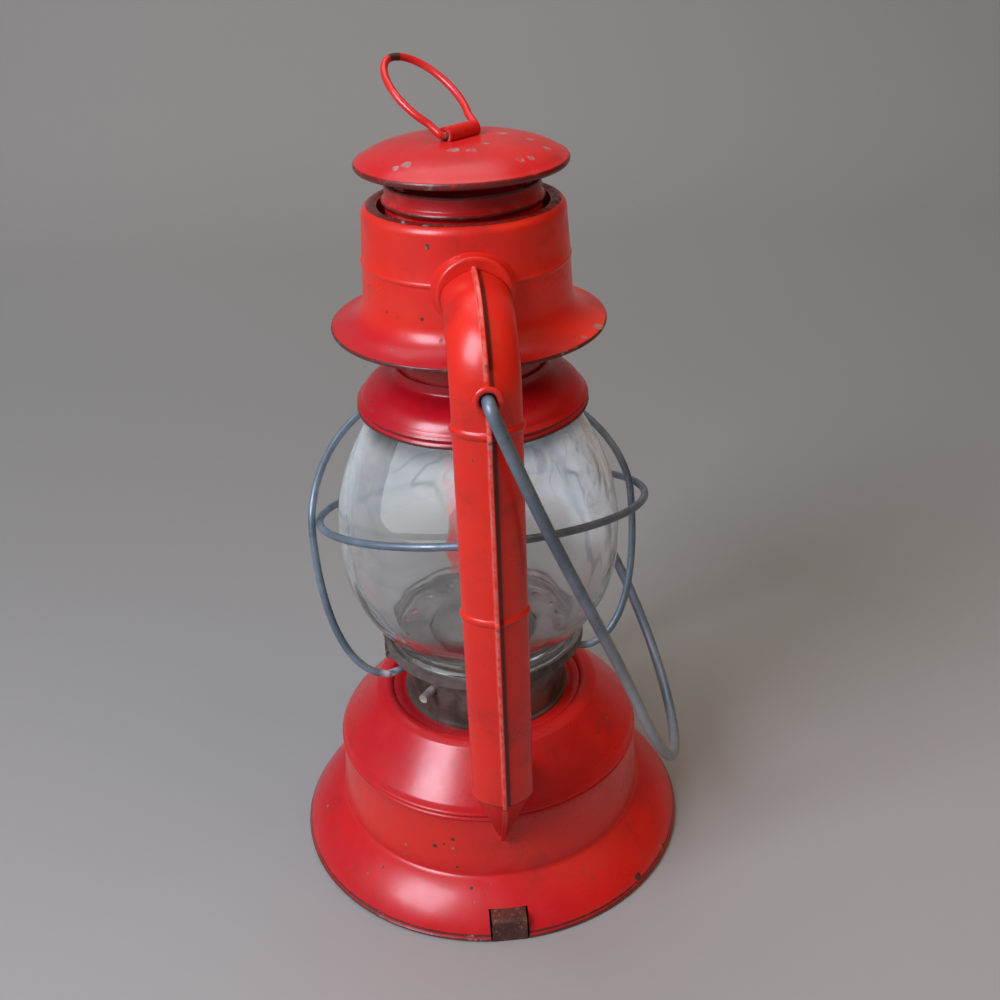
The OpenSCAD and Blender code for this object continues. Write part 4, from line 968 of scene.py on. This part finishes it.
def link_light(light, piece, state):
    """Lights only one piece, or every piece but that one."""
    group = bpy.data.collections.new(light.name + "_receivers")
    group.objects.link(piece)
    group.collection_objects[0].light_linking.link_state = state
    light.light_linking.receiver_collection = group


key = lamp("key", (0.57, -0.76, 0.92), (0.52, 0.62), 16.5, (0.97, 0.92, 1.07))
wide_key = lamp("wide_key", (0.50, -0.85, 0.80), (1.6, 1.8), 27.0, (0.88, 0.95, 1.0))
fill = lamp("fill", (0.28, 0.62, 1.00), (0.7, 0.7), 4.2, (1.0, 0.50, 0.22))
lamp("top", (-0.3, -0.1, 1.2), (0.9, 0.9), 5.0, (0.97, 0.98, 1.0))
# The smooth globe gets a wider soft box than the paint
link_light(key, globe, "EXCLUDE")
link_light(wide_key, globe, "INCLUDE")
# The wide soft box and the fill make no bright shape through the glass, and the fill no highlight
wide_key.visible_transmission = False
fill.visible_transmission = False
fill.visible_glossy = False


def sky():
    """A dim world, cool on the key's side and warm on the other."""
    world = bpy.data.worlds.new("studio")
    bpy.context.scene.world = world
    world.use_nodes = True
    tree = world.node_tree
    split = tree.nodes.new("ShaderNodeSeparateXYZ")
    fade = tree.nodes.new("ShaderNodeMapRange")
    mix = tree.nodes.new("ShaderNodeMix")
    mix.data_type = "RGBA"
    tree.links.new(tree.nodes.new("ShaderNodeTexCoord").outputs["Generated"], split.inputs[0])
    tree.links.new(split.outputs[1], fade.inputs[0])
    fade.inputs[1].default_value, fade.inputs[2].default_value = -0.7, 0.8
    tree.links.new(fade.outputs[0], mix.inputs["Factor"])
    mix.inputs[6].default_value = SKY_COOL
    mix.inputs[7].default_value = SKY_WARM
    tree.links.new(mix.outputs[2], tree.nodes["Background"].inputs[0])
    tree.nodes["Background"].inputs[1].default_value = 0.26


sky()

# Camera: its place in metres, two of its axes and its focal length match the photograph

CAMERA_PLACE = (0.30372, -0.01698, 0.27686)
CAMERA_RIGHT = Vector((0.09456033, 0.99494666, -0.03375641))
CAMERA_UP = Vector((-0.47579509, 0.07495276, 0.87635673))
FOCAL_PIXELS, PHOTO_PIXELS, SENSOR = 1235.41, 1000, 36


def camera():
    data = bpy.data.cameras.new("camera")
    data.sensor_width = SENSOR
    data.lens = SENSOR * FOCAL_PIXELS / PHOTO_PIXELS
    data.clip_start = 0.01
    cam = bpy.data.objects.new("camera", data)
    bpy.context.scene.collection.objects.link(cam)
    back = CAMERA_RIGHT.cross(CAMERA_UP)
    turn = Matrix((CAMERA_RIGHT, CAMERA_UP, back)).transposed().to_4x4()
    cam.matrix_world = Matrix.Translation(CAMERA_PLACE) @ turn
    bpy.context.scene.camera = cam


camera()
bpy.context.scene.view_settings.view_transform = "Standard"
